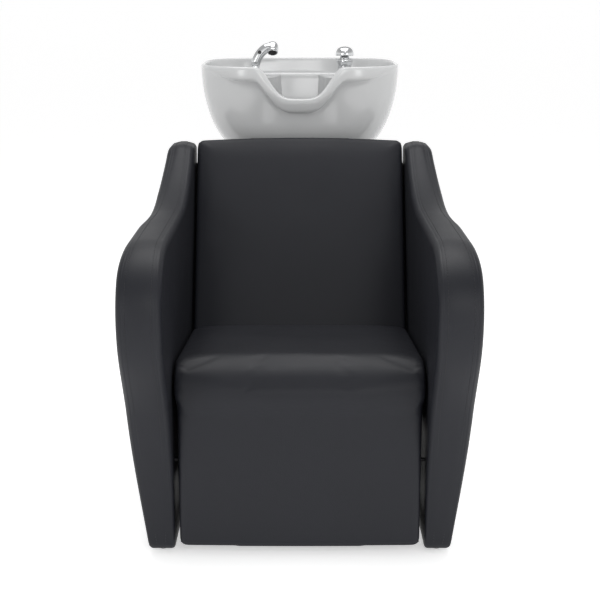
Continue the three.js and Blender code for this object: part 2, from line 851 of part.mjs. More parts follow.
const pad_thickness = 5;
const bracket_top = basin_bottom - pad_thickness - 2 * seat_gap;
const pad_x = 80;
const strap = { front: pivot_y - 60, back: waste_y + 34 };

function basin_bracket() {
  const bed = [
    box(-110, strap.front, bracket_top - plate, 110, strap.front + 34, bracket_top),
    box(-110, strap.back, bracket_top - plate, 110, strap.back + 30, bracket_top),
  ];
  const lugs = sides.flatMap(({ sign }) => {
    const ear = new THREE.Shape();
    ear.moveTo(strap.front, bracket_top - plate + 1);
    ear.lineTo(pivot_y - 13, pivot_height - 4);
    ear.absarc(pivot_y, pivot_height, 14, Math.PI, 2 * Math.PI);
    ear.lineTo(pivot_y + 34, bracket_top - 22);
    ear.lineTo(strap.back + 30, bracket_top - 22);
    ear.lineTo(strap.back + 30, bracket_top);
    ear.lineTo(strap.front, bracket_top);
    ear.closePath();
    const middle = sign * lug_x;
    return [prism_x(ear, middle - plate / 2, middle + plate / 2, 5)];
  });
  const bores = sides.map(({ sign }) =>
    rod_x(pivot_radius + running_gap, sign * (lug_x - plate), sign * (lug_x + plate), pivot_y, pivot_height),
  );
  return cut(join(...bed, ...lugs), ...bores);
}

add("basin_bracket", basin_bracket(), black_steel);
for (const [row, y] of [["front", strap.front], ["rear", strap.back]]) {
  add(
    `basin_pad_${row}`,
    box(-100, y + 2, bracket_top + seat_gap, 100, y + 28, basin_bottom - seat_gap),
    black_rubber,
  );
}

// ---------------------------------------------------------------- waste, trap and strainer

const basin_inside = basin_bottom + basin_floor;
const waste_seat = basin_inside + 2;
const thread_radius = waste_hole_radius - 1.5;
const waste_bore = thread_radius - 3;
const waste_foot = basin_bottom - 36;

add(
  "waste_flange",
  turned(
    [
      [waste_bore, waste_foot],
      [thread_radius, waste_foot],
      [thread_radius, waste_seat],
      [34, waste_seat],
      [35, waste_seat + 1.5],
      [30, waste_seat + 3.5],
      [waste_bore + 6, waste_seat + 1.5],
      [waste_bore, waste_seat - 4],
      [waste_bore, waste_foot],
    ],
    0,
    waste_y,
  ),
  chrome,
);
add(
  "waste_gasket",
  turned(ring(thread_radius + seat_gap, 33, basin_bottom - 5, basin_bottom - seat_gap), 0, waste_y),
  black_rubber,
);
add("waste_nut", nut(thread_radius, 31, basin_bottom - 16, basin_bottom - 5 - seat_gap, 0, waste_y, 12), white_plastic);

/** Profile of a plain ring between two radii and two heights. */
function ring(inner, outer, low, high) {
  return [[inner, low], [outer, low], [outer, high], [inner, high], [inner, low]];
}

/** A nut with `flats` sides, free of a thread of the given radius. */
function nut(thread, outer, low, high, x, y, flats = 6) {
  return cut(rod_z(outer, x, y, low, high, flats), rod_z(thread + seat_gap, x, y, low - 5, high + 5, 20));
}

const strainer_rim = waste_bore + 4;
function strainer() {
  const dish = turned(
    [
      [0, waste_seat - 6],
      [waste_bore - 1, waste_seat - 6],
      [waste_bore - 1, waste_seat - 2.4],
      [strainer_rim, waste_seat + 0.3],
      [strainer_rim, waste_seat + 3],
      [waste_bore - 3, waste_seat + 1],
      [waste_bore - 3, waste_seat - 4],
      [3, waste_seat - 4],
      [3, waste_seat + 3],
      [5, waste_seat + 5],
      [4, waste_seat + 8],
      [0, waste_seat + 8.5],
    ],
    0,
    waste_y,
  );
  const holes = Array.from({ length: 6 }, (_, i) => {
    const angle = (i * Math.PI) / 3;
    return rod_z(3.2, 10.5 * Math.cos(angle), waste_y + 10.5 * Math.sin(angle),
      waste_seat - 8, waste_seat - 2, 6);
  });
  return cut(dish, ...holes);
}

add("strainer", strainer(), chrome);

const trap_radius = 30;
const trap_top = waste_foot + 14;
const trap_foot = 562;
const outlet_height = 612;
const outlet_end = waste_y + 74;

function trap_body() {
  const shell = turned(
    [
      [0, trap_foot],
      [trap_radius - 4, trap_foot],
      [trap_radius, trap_foot + 4],
      [trap_radius, trap_top - 22],
      [thread_radius + 5, trap_top - 14],
      [thread_radius + 5, trap_top],
      [thread_radius + seat_gap, trap_top],
      [thread_radius + seat_gap, trap_top - 16],
      [trap_radius - 3, trap_top - 26],
      [trap_radius - 3, trap_foot + 3],
      [0, trap_foot + 3],
    ],
    0,
    waste_y,
  );
  const branch = rod_y(18, 0, waste_y + trap_radius - 6, outlet_end, outlet_height, 20);
  const bore = rod_y(15.5, 0, waste_y + trap_radius - 12, outlet_end + 5, outlet_height, 20);
  return cut(join(shell, branch), bore);
}

add("trap_body", trap_body(), white_plastic);
add(
  "trap_nut",
  cut(
    rod_y(23, 0, outlet_end - 20, outlet_end - 4, outlet_height, 12),
    rod_y(18 + seat_gap, 0, outlet_end - 25, outlet_end + 5, outlet_height, 20),
  ),
  white_plastic,
);

// ---------------------------------------------------------------- mixer

const mixer_x = tap_spacing;
const shank_radius = tap_hole_radius - 1;
const shank_foot = deck_underside - 34;
const mixer_neck = deck + 42;

add(
  "mixer_body",
  turned(
    [
      [0, shank_foot],
      [shank_radius, shank_foot],
      [shank_radius, deck + seat_gap],
      [25, deck + seat_gap],
      [25, deck + 5],
      [20, deck + 10],
      [19, mixer_neck - 14],
      [22, mixer_neck - 6],
      [22, mixer_neck],
      [0, mixer_neck],
    ],
    mixer_x,
    tap_y,
    22,
  ),
  chrome,
);

for (const [name, x] of [["mixer", mixer_x], ["holder", -tap_spacing]]) {
  add(
    `${name}_nut`,
    nut(shank_radius, 23, deck_underside - 12, deck_underside - seat_gap, x, tap_y),
    zinc_steel,
  );
}

const swivel_foot = mixer_neck + running_gap;
const swivel_top = swivel_foot + 4;
const dome_foot = swivel_top + 7;
const lift_axis_height = dome_foot + 4;

/** Turning ring with two ears that the lever's pin runs in. */
function mixer_swivel() {
  const collar = turned([[0, swivel_foot], [22, swivel_foot], [22, swivel_top], [0, swivel_top]],
    mixer_x, tap_y, 22);
  const tower = box(mixer_x - 8, tap_y - 8, swivel_foot + 2, mixer_x + 8, tap_y + 8, lift_axis_height + 6);
  return cut(
    join(collar, tower),
    rod_x(2.5 + running_gap, mixer_x - 12, mixer_x + 12, tap_y, lift_axis_height, 12),
  );
}

add("mixer_swivel", mixer_swivel(), chrome);

/** Hollow dome over the swivel, with the finger lever in front and the pin across. */
function mixer_lever() {
  const dome = turned(
    [
      [20, dome_foot],
      [25, dome_foot],
      [25, dome_foot + 7],
      [20, dome_foot + 18],
      [11, dome_foot + 23],
      [0, dome_foot + 24.5],
      [0, dome_foot + 20],
      [10, dome_foot + 19],
      [17, dome_foot + 14],
      [20, dome_foot + 5],
      [20, dome_foot],
    ],
    mixer_x,
    tap_y,
    22,
  );
  const lever = new THREE.Shape();
  lever.moveTo(tap_y - 18, dome_foot + 4);
  lever.lineTo(tap_y - 52, dome_foot + 8);
  lever.quadraticCurveTo(tap_y - 58, dome_foot + 11, tap_y - 52, dome_foot + 14);
  lever.lineTo(tap_y - 20, dome_foot + 13);
  lever.closePath();
  const stem = prism_x(lever, mixer_x - 7, mixer_x + 7, 4);
  const inside = rod_z(19.5, mixer_x, tap_y, dome_foot - 2, dome_foot + 14, 22);
  const pin = rod_x(2.5, mixer_x - 22, mixer_x + 22, tap_y, lift_axis_height, 12);
  return join(cut(join(dome, stem), inside), pin);
}

add("mixer_lever", mixer_lever(), chrome);

// ---------------------------------------------------------------- hand spray and its holder

const spray_x = -tap_spacing;
const handle_radius = 12;
const tail_radius = 8;
const holder_top = deck + 16;
const holder_bore = tail_radius + running_gap;

add(
  "spray_holder",
  turned(
    [
      [holder_bore, shank_foot],
      [shank_radius, shank_foot],
      [shank_radius, deck + seat_gap],
      [23, deck + seat_gap],
      [23, deck + 4],
      [17, deck + 8],
      [15, holder_top],
      [holder_bore, holder_top],
      [holder_bore, shank_foot],
    ],
    spray_x,
    tap_y,
  ),
  chrome,
);

const neck_height = holder_top + running_gap;
const head_x = spray_x + 48;
const head_z = rim_height + 28;
const head_pitch = THREE.MathUtils.degToRad(35);

/** Turns and moves something made along Z so that it points down and forward at the spray's head. */
function at_head(geometry) {
  return geometry.rotateX(-head_pitch).translate(head_x, tap_y, head_z);
}

function spray_handle() {
  const line = new THREE.CatmullRomCurve3([
    new THREE.Vector3(spray_x, tap_y, neck_height + 10),
    new THREE.Vector3(spray_x + 3, tap_y, neck_height + 26),
    new THREE.Vector3(spray_x + 13, tap_y, neck_height + 46),
    new THREE.Vector3(spray_x + 30, tap_y, neck_height + 59),
    new THREE.Vector3(head_x, tap_y, head_z + 3),
  ]);
  const round = new THREE.Shape().absarc(0, 0, handle_radius, 0, 2 * Math.PI);
  const grip = new THREE.ExtrudeGeometry(round, {
    steps: 7,
    bevelEnabled: false,
    extrudePath: line,
    curveSegments: 6,
  });
  const tail = turned(
    [
      [0, deck - 20],
      [tail_radius, deck - 20],
      [tail_radius, neck_height],
      [handle_radius, neck_height],
      [handle_radius, neck_height + 12],
      [0, neck_height + 12],
    ],
    spray_x,
    tap_y,
    20,
  );
  const shell = at_head(
    new THREE.LatheGeometry(
      [[0, -14], [14, -14], [16, -4], [16, 6], [12, 15], [6, 19], [0, 20]].map(
        ([r, z]) => new THREE.Vector2(r, z),
      ),
      20,
    ).rotateX(Math.PI / 2),
  );
  return join(grip, tail, shell);
}

const button_y = tap_y - handle_radius;
const button_place = { x: spray_x + 13, z: neck_height + 46 };
add(
  "spray_handle",
  cut(
    spray_handle(),
    rod_y(5 + running_gap, button_place.x, button_y - 6, button_y + 6, button_place.z, 14),
    at_head(rod_z(11 + seat_gap, 0, 0, -20, -10, 20)),
  ),
  chrome,
);
add(
  "spray_face",
  at_head(turned([[0, -15.5], [10, -15.5], [11, -14.5], [11, -10.3], [0, -10.3]], 0, 0, 20)),
  black_rubber,
);
add(
  "spray_button",
  rod_y(5, button_place.x, button_y - 3, button_y + 3, button_place.z, 14),
  black_plastic,
);

// The origin: on the floor, under the middle of the overall width and depth.
unit.children.forEach((piece) => piece.geometry.translate(0, -overall_depth / 2, 0));

export default unit;
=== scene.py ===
"""Looks of a shampoo backwash unit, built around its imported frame.

An upholstered armchair stands in front of a white glazed basin that tilts on a rear pedestal. Lengths in
the classes are metres. Stations, which the outlines are drawn in, are distances behind the foremost
point of the arms.
"""

import json
import logging
import math
from dataclasses import dataclass
from enum import Enum
from typing import Callable, Optional, Sequence

import bmesh
import bpy
import numpy as np
from mathutils import Matrix, Vector

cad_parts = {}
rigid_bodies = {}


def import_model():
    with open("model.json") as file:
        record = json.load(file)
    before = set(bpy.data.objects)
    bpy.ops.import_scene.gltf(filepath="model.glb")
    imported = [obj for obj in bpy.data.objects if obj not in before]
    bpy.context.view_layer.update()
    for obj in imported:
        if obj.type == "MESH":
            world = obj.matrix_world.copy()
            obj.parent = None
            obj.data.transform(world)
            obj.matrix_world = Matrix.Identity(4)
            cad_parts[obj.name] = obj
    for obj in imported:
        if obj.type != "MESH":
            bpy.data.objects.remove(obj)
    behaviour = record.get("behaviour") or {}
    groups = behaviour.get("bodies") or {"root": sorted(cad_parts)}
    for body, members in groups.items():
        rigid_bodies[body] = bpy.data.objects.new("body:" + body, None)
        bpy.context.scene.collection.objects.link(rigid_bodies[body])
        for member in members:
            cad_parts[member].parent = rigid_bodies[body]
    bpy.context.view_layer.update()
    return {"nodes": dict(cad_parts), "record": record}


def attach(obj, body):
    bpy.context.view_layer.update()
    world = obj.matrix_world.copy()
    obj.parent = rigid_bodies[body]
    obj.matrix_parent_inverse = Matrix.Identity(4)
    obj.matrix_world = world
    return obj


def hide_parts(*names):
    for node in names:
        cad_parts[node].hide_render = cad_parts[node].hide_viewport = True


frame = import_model()
LOG = logging.getLogger("backwash")
MM = 0.001
ARMS_FRONT = -0.6642737
"""Row-frame Y of the foremost point of the arms."""


def station(y: float) -> float:
    """Returns the row-frame Y, in metres, of a station given in millimetres."""
    return ARMS_FRONT + y * MM


class Side(Enum):
    """The two sides of the chair, with the sign of their X."""

    LEFT = -1
    RIGHT = 1

    @property
    def label(self) -> str:
        """The side's name as the frame's nodes spell it."""
        return self.name.lower()


# ---------------------------------------------------------------- shader maths


class Value:
    """A socket that can be added, multiplied and compared like a number."""

    def __init__(self, shader: "Shader", socket: bpy.types.NodeSocket) -> None:
        """Wraps one output socket of a shader's tree."""
        self.shader = shader
        self.socket = socket

    def math(self, operation: str, *others: "float | Value", first: bool = True) -> "Value":
        """Adds a Math node.

        Args:
            operation: The node's operation.
            others: The other operands.
            first: Whether this value is the first operand.

        Returns:
            The node's result.
        """
        operands = [self, *others] if first else [*others, self]
        return self.shader.add(
            "ShaderNodeMath", {"operation": operation}, dict(enumerate(operands))
        )

    def __add__(self, other: "float | Value") -> "Value":
        """Sum."""
        return self.math("ADD", other)

    __radd__ = __add__

    def __mul__(self, other: "float | Value") -> "Value":
        """Product."""
        return self.math("MULTIPLY", other)

    __rmul__ = __mul__

    def __sub__(self, other: "float | Value") -> "Value":
        """Difference."""
        return self.math("SUBTRACT", other)

    def __rsub__(self, other: "float | Value") -> "Value":
        """Difference from a number."""
        return self.math("SUBTRACT", other, first=False)

    def __truediv__(self, other: "float | Value") -> "Value":
        """Quotient."""
        return self.math("DIVIDE", other)

    def __rtruediv__(self, other: "float | Value") -> "Value":
        """Quotient of a number."""
        return self.math("DIVIDE", other, first=False)

    def __pow__(self, other: "float | Value") -> "Value":
        """Power."""
        return self.math("POWER", other)

    def above(self, low: float, high: float) -> "Value":
        """Smooth rise from 0 at `low` to 1 at `high`."""
        settings = {"interpolation_type": "SMOOTHSTEP"}
        return self.shader.add("ShaderNodeMapRange", settings, {0: self, 1: low, 2: high})


class Shader:
    """A material whose node tree is written as sums and products."""

    def __init__(self, name: str) -> None:
        """Makes an empty material with one Principled shader."""
        self.material = bpy.data.materials.new(name)
        self.material.use_nodes = True
        self.tree = self.material.node_tree
        self.surface = self.tree.nodes["Principled BSDF"]

    def link(self, target: bpy.types.NodeSocket, source: object) -> None:
        """Feeds a socket from a Value, or sets it to a plain value."""
        if isinstance(source, Value):
            self.tree.links.new(source.socket, target)
        else:
            target.default_value = source

    def add(
        self,
        kind: str,
        settings: Optional[dict] = None,
        inputs: Optional[dict] = None,
        output: "int | str" = 0,
    ) -> Value:
        """Adds any node.

        Args:
            kind: The node's type.
            settings: Its attributes.
            inputs: Its sockets by name or place, each a number, a colour or a Value.
            output: The socket that the result is taken from.

        Returns:
            That socket, wrapped.
        """
        node = self.tree.nodes.new(kind)
        for name, value in (settings or {}).items():
            setattr(node, name, value)
        for name, value in (inputs or {}).items():
            self.link(node.inputs[name], value)
        return Value(self, node.outputs[output])

    def place(self) -> Value:
        """Object coordinates, in metres."""
        return self.add("ShaderNodeTexCoord", output="Object")

    def noise(self, scale: float, detail: float = 3.0, stretch: Sequence[float] = (1, 1, 1)) -> Value:
        """Fractal noise from 0 to 1.

        Args:
            scale: Repeats in a metre.
            detail: Octaves.
            stretch: Scale along X, Y and Z before the noise.

        Returns:
            The noise's height.
        """
        where = self.add("ShaderNodeMapping", None, {"Vector": self.place(), "Scale": tuple(stretch)})
        return self.add("ShaderNodeTexNoise", None, {"Vector": where, "Scale": scale, "Detail": detail})

    def cells(self, scale: float, feature: str = "F1") -> Value:
        """Distance to the nearest cell centre or border of a Voronoi pattern."""
        inputs = {"Vector": self.place(), "Scale": scale}
        return self.add("ShaderNodeTexVoronoi", {"feature": feature}, inputs)

    def colours(self, factor: Value, low: Sequence[float], high: Sequence[float]) -> Value:
        """A colour between two, as `factor` goes from 0 to 1."""
        node = self.tree.nodes.new("ShaderNodeMix")
        node.data_type = "RGBA"
        self.link(node.inputs[0], factor)
        self.link(node.inputs[6], (*low, 1.0))
        self.link(node.inputs[7], (*high, 1.0))
        return Value(self, node.outputs[2])

    def set(self, **sockets: object) -> None:
        """Sets the Principled shader's sockets; an underscore stands for a space."""
        for name, value in sockets.items():
            self.link(self.surface.inputs[name.replace("_", " ")], value)

    def bump(self, height: Value, depth: float, strength: float = 1.0) -> None:
        """Feeds the shader's normal from a height between 0 and 1 that is `depth` metres tall."""
        inputs = {"Height": height, "Distance": depth, "Strength": strength}
        self.set(Normal=self.add("ShaderNodeBump", None, inputs, "Normal"))


# ---------------------------------------------------------------- finishes


@dataclass(frozen=True)
class Vinyl:
    """Coated fabric with a fine pebbled grain."""

    name: str = "charcoal_vinyl"
    low: tuple = (0.0072, 0.0078, 0.0112)
    high: tuple = (0.0110, 0.0118, 0.0160)
    roughness: float = 0.47
    gloss: float = 0.27
    grain: float = 620.0

    def make(self) -> bpy.types.Material:
        """Builds the material."""
        s = Shader(self.name)
        pebble = s.cells(self.grain).above(0.1, 0.75)
        fine = s.noise(1900, 2)
        wear = s.noise(9, 3)
        s.set(
            Base_Color=s.colours(wear * 0.8 + pebble * 0.2, self.low, self.high),
            Roughness=self.roughness + 0.12 * (wear - 0.5) + 0.06 * pebble,
            Specular_IOR_Level=self.gloss,
        )
        s.bump(1 - pebble * 0.85 - fine * 0.15, 0.00016, 0.5)
        return s.material


@dataclass(frozen=True)
class Thread:
    """Twisted polyester sewing thread."""

    name: str = "sewing_thread"
    colour: tuple = (0.014, 0.0145, 0.017)

    def make(self) -> bpy.types.Material:
        """Builds the material."""
        s = Shader(self.name)
        twist = s.noise(2500, 2)
        s.set(Base_Color=s.colours(twist, self.colour, (0.026, 0.027, 0.031)), Roughness=0.7)
        s.bump(twist, 0.0001)
        return s.material


@dataclass(frozen=True)
class Glaze:
    """White vitreous glaze with a slow waviness and rare pinholes."""

    name: str = "white_glaze"
    low: tuple = (0.45, 0.455, 0.458)
    high: tuple = (0.51, 0.514, 0.516)

    def make(self) -> bpy.types.Material:
        """Builds the material."""
        s = Shader(self.name)
        cloud = s.noise(7, 2)
        ripple = s.noise(26, 2)
        specks = s.cells(240).above(0.03, 0.09)
        s.set(
            Base_Color=s.colours(cloud * specks, self.low, self.high),
            Roughness=0.16 + 0.06 * cloud,
            Coat_Weight=0.35,
            Coat_Roughness=0.05,
        )
        s.bump(ripple * 0.9 + specks * 0.1, 0.0006, 0.25)
        return s.material


@dataclass(frozen=True)
class Metal:
    """Bare or plated metal with a fine wear in its gloss."""

    name: str
    colour: tuple
    roughness: float
    brush: tuple = (1, 1, 1)
    texture: float = 300.0

    def make(self) -> bpy.types.Material:
        """Builds the material."""
        s = Shader(self.name)
        streak = s.noise(self.texture, 3, self.brush)
        smudge = s.noise(35, 3)
        dim = tuple(c * 0.88 for c in self.colour)
        s.set(
            Base_Color=s.colours(smudge, dim, self.colour),
            Metallic=1.0,
            Roughness=self.roughness + 0.07 * smudge * streak,
        )
        s.bump(streak, 0.00005, 0.3)
        return s.material


@dataclass(frozen=True)
class Coating:
    """Powder coat, paint, rubber or moulded plastic: one colour with a fine texture."""

    name: str
    colour: tuple
    roughness: float
    texture: float = 900.0
    depth: float = 0.00012

    def make(self) -> bpy.types.Material:
        """Builds the material."""
        s = Shader(self.name)
        peel = s.noise(self.texture, 2)
        wear = s.noise(14, 4)
        light = tuple(min(1.0, c * 1.18 + 0.002) for c in self.colour)
        s.set(
            Base_Color=s.colours(wear, self.colour, light),
            Roughness=self.roughness + 0.12 * (wear - 0.5),
        )
        s.bump(peel, self.depth, 0.5)
        return s.material


@dataclass(frozen=True)
class Plywood:
    """Plywood with grain along Y."""

    name: str
    dark: tuple
    light: tuple

    def make(self) -> bpy.types.Material:
        """Builds the material."""
        s = Shader(self.name)
        grain = s.noise(60, 5, (1, 0.08, 1))
        pores = s.noise(700, 2, (1, 0.06, 1))
        s.set(
            Base_Color=s.colours(grain * 0.7 + pores * 0.3, self.dark, self.light),
            Roughness=0.62 + 0.15 * pores,
        )
        s.bump(pores, 0.0001, 0.4)
        return s.material


class Finishes:
    """Every finish of the unit, made once."""

    def __init__(self) -> None:
        """Makes the materials."""
        self.vinyl = Vinyl().make()
        self.thread = Thread().make()
        self.glaze = Glaze().make()
        self.chrome = Metal("polished_chrome", (0.74, 0.75, 0.76), 0.06).make()
        self.zinc = Metal("zinc_plate", (0.5, 0.51, 0.53), 0.32, texture=500.0).make()
        self.powder = Coating("black_powder_coat", (0.012, 0.012, 0.013), 0.48).make()
        self.rubber = Coating("black_rubber", (0.012, 0.012, 0.012), 0.75, 1400.0).make()
        self.nylon = Coating("black_nylon", (0.014, 0.014, 0.015), 0.42, 1200.0).make()
        self.plastic = Coating("white_polypropylene", (0.66, 0.66, 0.64), 0.38, 800.0).make()
        self.plywood = Plywood("birch_plywood", (0.42, 0.26, 0.13), (0.62, 0.44, 0.26)).make()
        # Painted shade: near-black plywood for the boards and near-black zinc for the arms' bolts, standing for the
        # shade in the gaps beside the front panel.
        self.stained = Plywood("stained_plywood", (0.007, 0.007, 0.007), (0.014, 0.013, 0.012)).make()
        self.blackened = Metal("black_zinc_plate", (0.03, 0.03, 0.032), 0.4, texture=500.0).make()

    def for_slot(self, slot: str) -> bpy.types.Material:
        """Returns the material for one of the record's slots."""
        return {
            "vinyl": self.vinyl,
            "ceramic": self.glaze,
            "chrome": self.chrome,
            "zinc_steel": self.zinc,
            "black_steel": self.powder,
            "rubber": self.rubber,
            "black_plastic": self.nylon,
            "white_plastic": self.plastic,
            "plywood": self.plywood,
        }[slot]


# ---------------------------------------------------------------- outlines and meshes


class Outline:
    """A plane curve drawn with straight and curved stretches, in millimetres."""

    def __init__(self, start: Sequence[float]) -> None:
        """Starts the curve at a point."""
        self.points = [np.array(start, float)]

    def line(self, *end: float) -> "Outline":
        """Goes straight to a point."""
        self.points.append(np.array(end, float))
        return self

    def curve(self, *numbers: float, steps: int = 40) -> "Outline":
        """Goes along a Bezier curve: the control points after the current one, as flat numbers."""
        controls = [self.points[-1], *np.array(numbers, float).reshape(-1, 2)]
        degree = len(controls) - 1
        for t in np.linspace(0, 1, steps + 1)[1:]:
            weights = [math.comb(degree, k) * t**k * (1 - t) ** (degree - k) for k in range(degree + 1)]
            self.points.append(sum(w * c for w, c in zip(weights, controls)))
        return self

    def even(self, step: float, closed: bool = True) -> np.ndarray:
        """The curve as points about `step` apart."""
        points = np.array(self.points + ([self.points[0]] if closed else []))
        run = np.concatenate([[0], np.cumsum(np.linalg.norm(np.diff(points, axis=0), axis=1))])
        count = max(2, round(run[-1] / step))
        where = np.linspace(0, run[-1], count + 1)[: count if closed else count + 1]
        return np.stack([np.interp(where, run, points[:, k]) for k in (0, 1)], 1)


def normals_of(points: np.ndarray) -> np.ndarray:
    """Unit normals of a closed counter-clockwise polyline, pointing out of it."""
    along = np.roll(points, -1, 0) - np.roll(points, 1, 0)
    along /= np.linalg.norm(along, axis=1)[:, None]
    return np.stack([along[:, 1], -along[:, 0]], 1)


def rounded(points: Sequence[Sequence[float]], passes: int = 2, cut: float = 0.22) -> np.ndarray:
    """Cuts the corners of an open polyline, keeping its ends.

    Args:
        points: The polyline.
        passes: How many times its corners are cut.
        cut: The share of each stretch that is cut off at either end.

    Returns:
        The smoother polyline.
    """
    line = np.array(points, float)
    for _ in range(passes):
        a, b = line[:-1], line[1:]
        pairs = np.stack([a + (b - a) * cut, b - (b - a) * cut], 1).reshape(-1, line.shape[1])
        line = np.concatenate([line[:1], pairs[1:-1], line[-1:]])
    return line


def mesh_object(
    name: str,
    vertices: np.ndarray,
    faces: Sequence[Sequence[int]],
    material: bpy.types.Material,
) -> bpy.types.Object:
    """Makes a smooth-shaded mesh object with its normals pointing outwards.

    Args:
        name: The object's name.
        vertices: Its points, in metres.
        faces: Its faces, as lists of point numbers.
        material: Its finish.

    Returns:
        The object, linked to the scene.
    """
    mesh = bpy.data.meshes.new(name)
    mesh.from_pydata([tuple(v) for v in vertices], [], [tuple(f) for f in faces])
    work = bmesh.new()
    work.from_mesh(mesh)
    bmesh.ops.remove_doubles(work, verts=work.verts, dist=1e-6)
    bmesh.ops.recalc_face_normals(work, faces=work.faces)
    work.to_mesh(mesh)
    work.free()
    mesh.polygons.foreach_set("use_smooth", [True] * len(mesh.polygons))
    mesh.materials.append(material)
    made = bpy.data.objects.new(name, mesh)
    bpy.context.collection.objects.link(made)
    return made


def ring_faces(rings: int, around: int, closed: bool = False) -> list:
    """Faces between rings of points numbered ring by ring.

    Args:
        rings: How many rings.
        around: Points in each.
        closed: Whether the last ring joins the first.

    Returns:
        The faces.
    """
    faces = []
    for i in range(rings if closed else rings - 1):
        low, high = i * around, ((i + 1) % rings) * around
        for j in range(around):
            k = (j + 1) % around
            faces.append((low + j, low + k, high + k, high + j))
    return faces


def smooth(low: float, high: float, value: float) -> float:
    """Smooth rise from 0 at `low` to 1 at `high`."""
    t = min(1.0, max(0.0, (value - low) / (high - low)))
    return t * t * (3 - 2 * t)


def lathe(
    name: str,
    profile: Sequence[Sequence[float]],
    place: Matrix,
    material: bpy.types.Material,
    segments: int = 56,
    passes: int = 2,
) -> bpy.types.Object:
    """Turns a [radius, height] profile, in millimetres, about the Z axis of `place`."""
    line = rounded(profile, passes) * MM
    angles = np.linspace(0, 2 * math.pi, segments, endpoint=False)
    rings = [
        [place @ Vector((r * math.cos(a), r * math.sin(a), z)) for a in angles] for r, z in line
    ]
    return mesh_object(name, np.array(rings).reshape(-1, 3), ring_faces(len(rings), segments), material)


def sweep(
    name: str,
    path: np.ndarray,
    radii: Sequence[float],
    material: bpy.types.Material,
    sides: int = 28,
) -> bpy.types.Object:
    """Sweeps a circle of changing radius along a path, in metres, closing both ends."""
    rings = []
    across = Vector((0, 1, 0))
    for i, point in enumerate(path):
        ahead = Vector(path[min(i + 1, len(path) - 1)] - path[max(i - 1, 0)]).normalized()
        other = ahead.cross(across).normalized()
        for k in range(sides):
            a = 2 * math.pi * k / sides
            rings.append(Vector(point) + radii[i] * (math.cos(a) * across + math.sin(a) * other))
    faces = ring_faces(len(path), sides)
    faces += [tuple(range(sides)), tuple(range(len(rings) - sides, len(rings)))]
    return mesh_object(name, np.array(rings), faces, material)


def evaluated_mesh(obj: bpy.types.Object) -> bpy.types.Mesh:
    """A copy of an object's mesh with its modifiers applied."""
    graph = bpy.context.evaluated_depsgraph_get()
    return bpy.data.meshes.new_from_object(obj.evaluated_get(graph))


def apply_modifiers(obj: bpy.types.Object) -> None:
    """Replaces an object's mesh by its modified shape."""
    mesh = evaluated_mesh(obj)
    obj.modifiers.clear()
    obj.data = mesh


def coordinates(mesh: bpy.types.Mesh) -> np.ndarray:
    """A mesh's points as an array."""
    points = np.empty(len(mesh.vertices) * 3)
    mesh.vertices.foreach_get("co", points)
    return points.reshape(-1, 3)


# ---------------------------------------------------------------- upholstery


@dataclass(frozen=True)
class Stuffing:
    """How a padded piece swells when its cover is filled."""

    voxel: float = 0.006
    pressure: float = 4.0
    cap: float = 0.007
    frames: int = 20

    def fill(self, obj: bpy.types.Object, held: Callable[[np.ndarray], np.ndarray]) -> None:
        """Swells a piece by simulated cloth, then applies the result.

        Args:
            obj: The piece.
            held: Gives, for points in metres, how firmly each is held, from 0 to 1.
        """
        remesh = obj.modifiers.new("even", "REMESH")
        remesh.mode = "VOXEL"
        remesh.voxel_size = self.voxel
        remesh.use_smooth_shade = True
        apply_modifiers(obj)
        before = coordinates(obj.data)
        group = obj.vertex_groups.new(name="held")
        for index, weight in enumerate(held(before)):
            if weight > 0:
                group.add([index], float(weight), "REPLACE")
        cloth = obj.modifiers.new("cover", "CLOTH")
        cloth.settings.quality = 6
        cloth.settings.mass = 0.3
        cloth.settings.tension_stiffness = 60
        cloth.settings.compression_stiffness = 60
        cloth.settings.bending_stiffness = 3
        cloth.settings.use_pressure = True
        cloth.settings.uniform_pressure_force = self.pressure
        cloth.settings.effector_weights.gravity = 0
        cloth.settings.vertex_group_mass = "held"
        cloth.collision_settings.use_collision = False
        for number in range(1, self.frames + 1):
            bpy.context.scene.frame_set(number)
        after = coordinates(evaluated_mesh(obj))
        bpy.context.scene.frame_set(1)
        obj.modifiers.clear()
        move = after - before
        size = np.linalg.norm(move, axis=1)[:, None]
        move *= self.cap * np.tanh(size / self.cap) / np.maximum(size, 1e-9)
        obj.data.vertices.foreach_set("co", (before + move).ravel())
        obj.data.update()


@dataclass(frozen=True)
class Stitching:
    """A row of short stitches."""

    length: float = 0.0042
    pitch: float = 0.0064
    radius: float = 0.00042

    def sew(
        self, name: str, line: np.ndarray, lift: np.ndarray, material: bpy.types.Material
    ) -> bpy.types.Object:
        """Lays stitches along a line.

        Args:
            name: The object's name.
            line: The line's points, in metres.
            lift: The surface's outward normal at each point.
            material: The thread.

        Returns:
            All the stitches as one object.
        """
        run = np.concatenate([[0], np.cumsum(np.linalg.norm(np.diff(line, axis=0), axis=1))])
        starts = np.arange(self.pitch / 2, run[-1] - self.pitch, self.pitch)
        profile = [(0.0, 0.3), (0.2, 1.0), (0.8, 1.0), (1.0, 0.3)]
        vertices, faces = [], []
        for start in starts:
            at = [np.interp(start + t * self.length, run, line[:, k]) for t, _ in profile for k in range(3)]
            centres = np.array(at).reshape(-1, 3)
            up = np.array([np.interp(start, run, lift[:, k]) for k in range(3)])
            along = centres[-1] - centres[0]
            side = np.cross(along, up)
            side /= max(np.linalg.norm(side), 1e-9)
            base = len(vertices)
            for centre, (_, width) in zip(centres, profile):
                for k in range(6):
                    a = 2 * math.pi * k / 6
                    vertices.append(centre + self.radius * width * (math.cos(a) * side + math.sin(a) * up))
            faces += [tuple(base + v for v in face) for face in ring_faces(len(profile), 6)]
            faces += [tuple(range(base, base + 6)), tuple(range(base + 18, base + 24))]
        return mesh_object(name, np.array(vertices), faces, material)


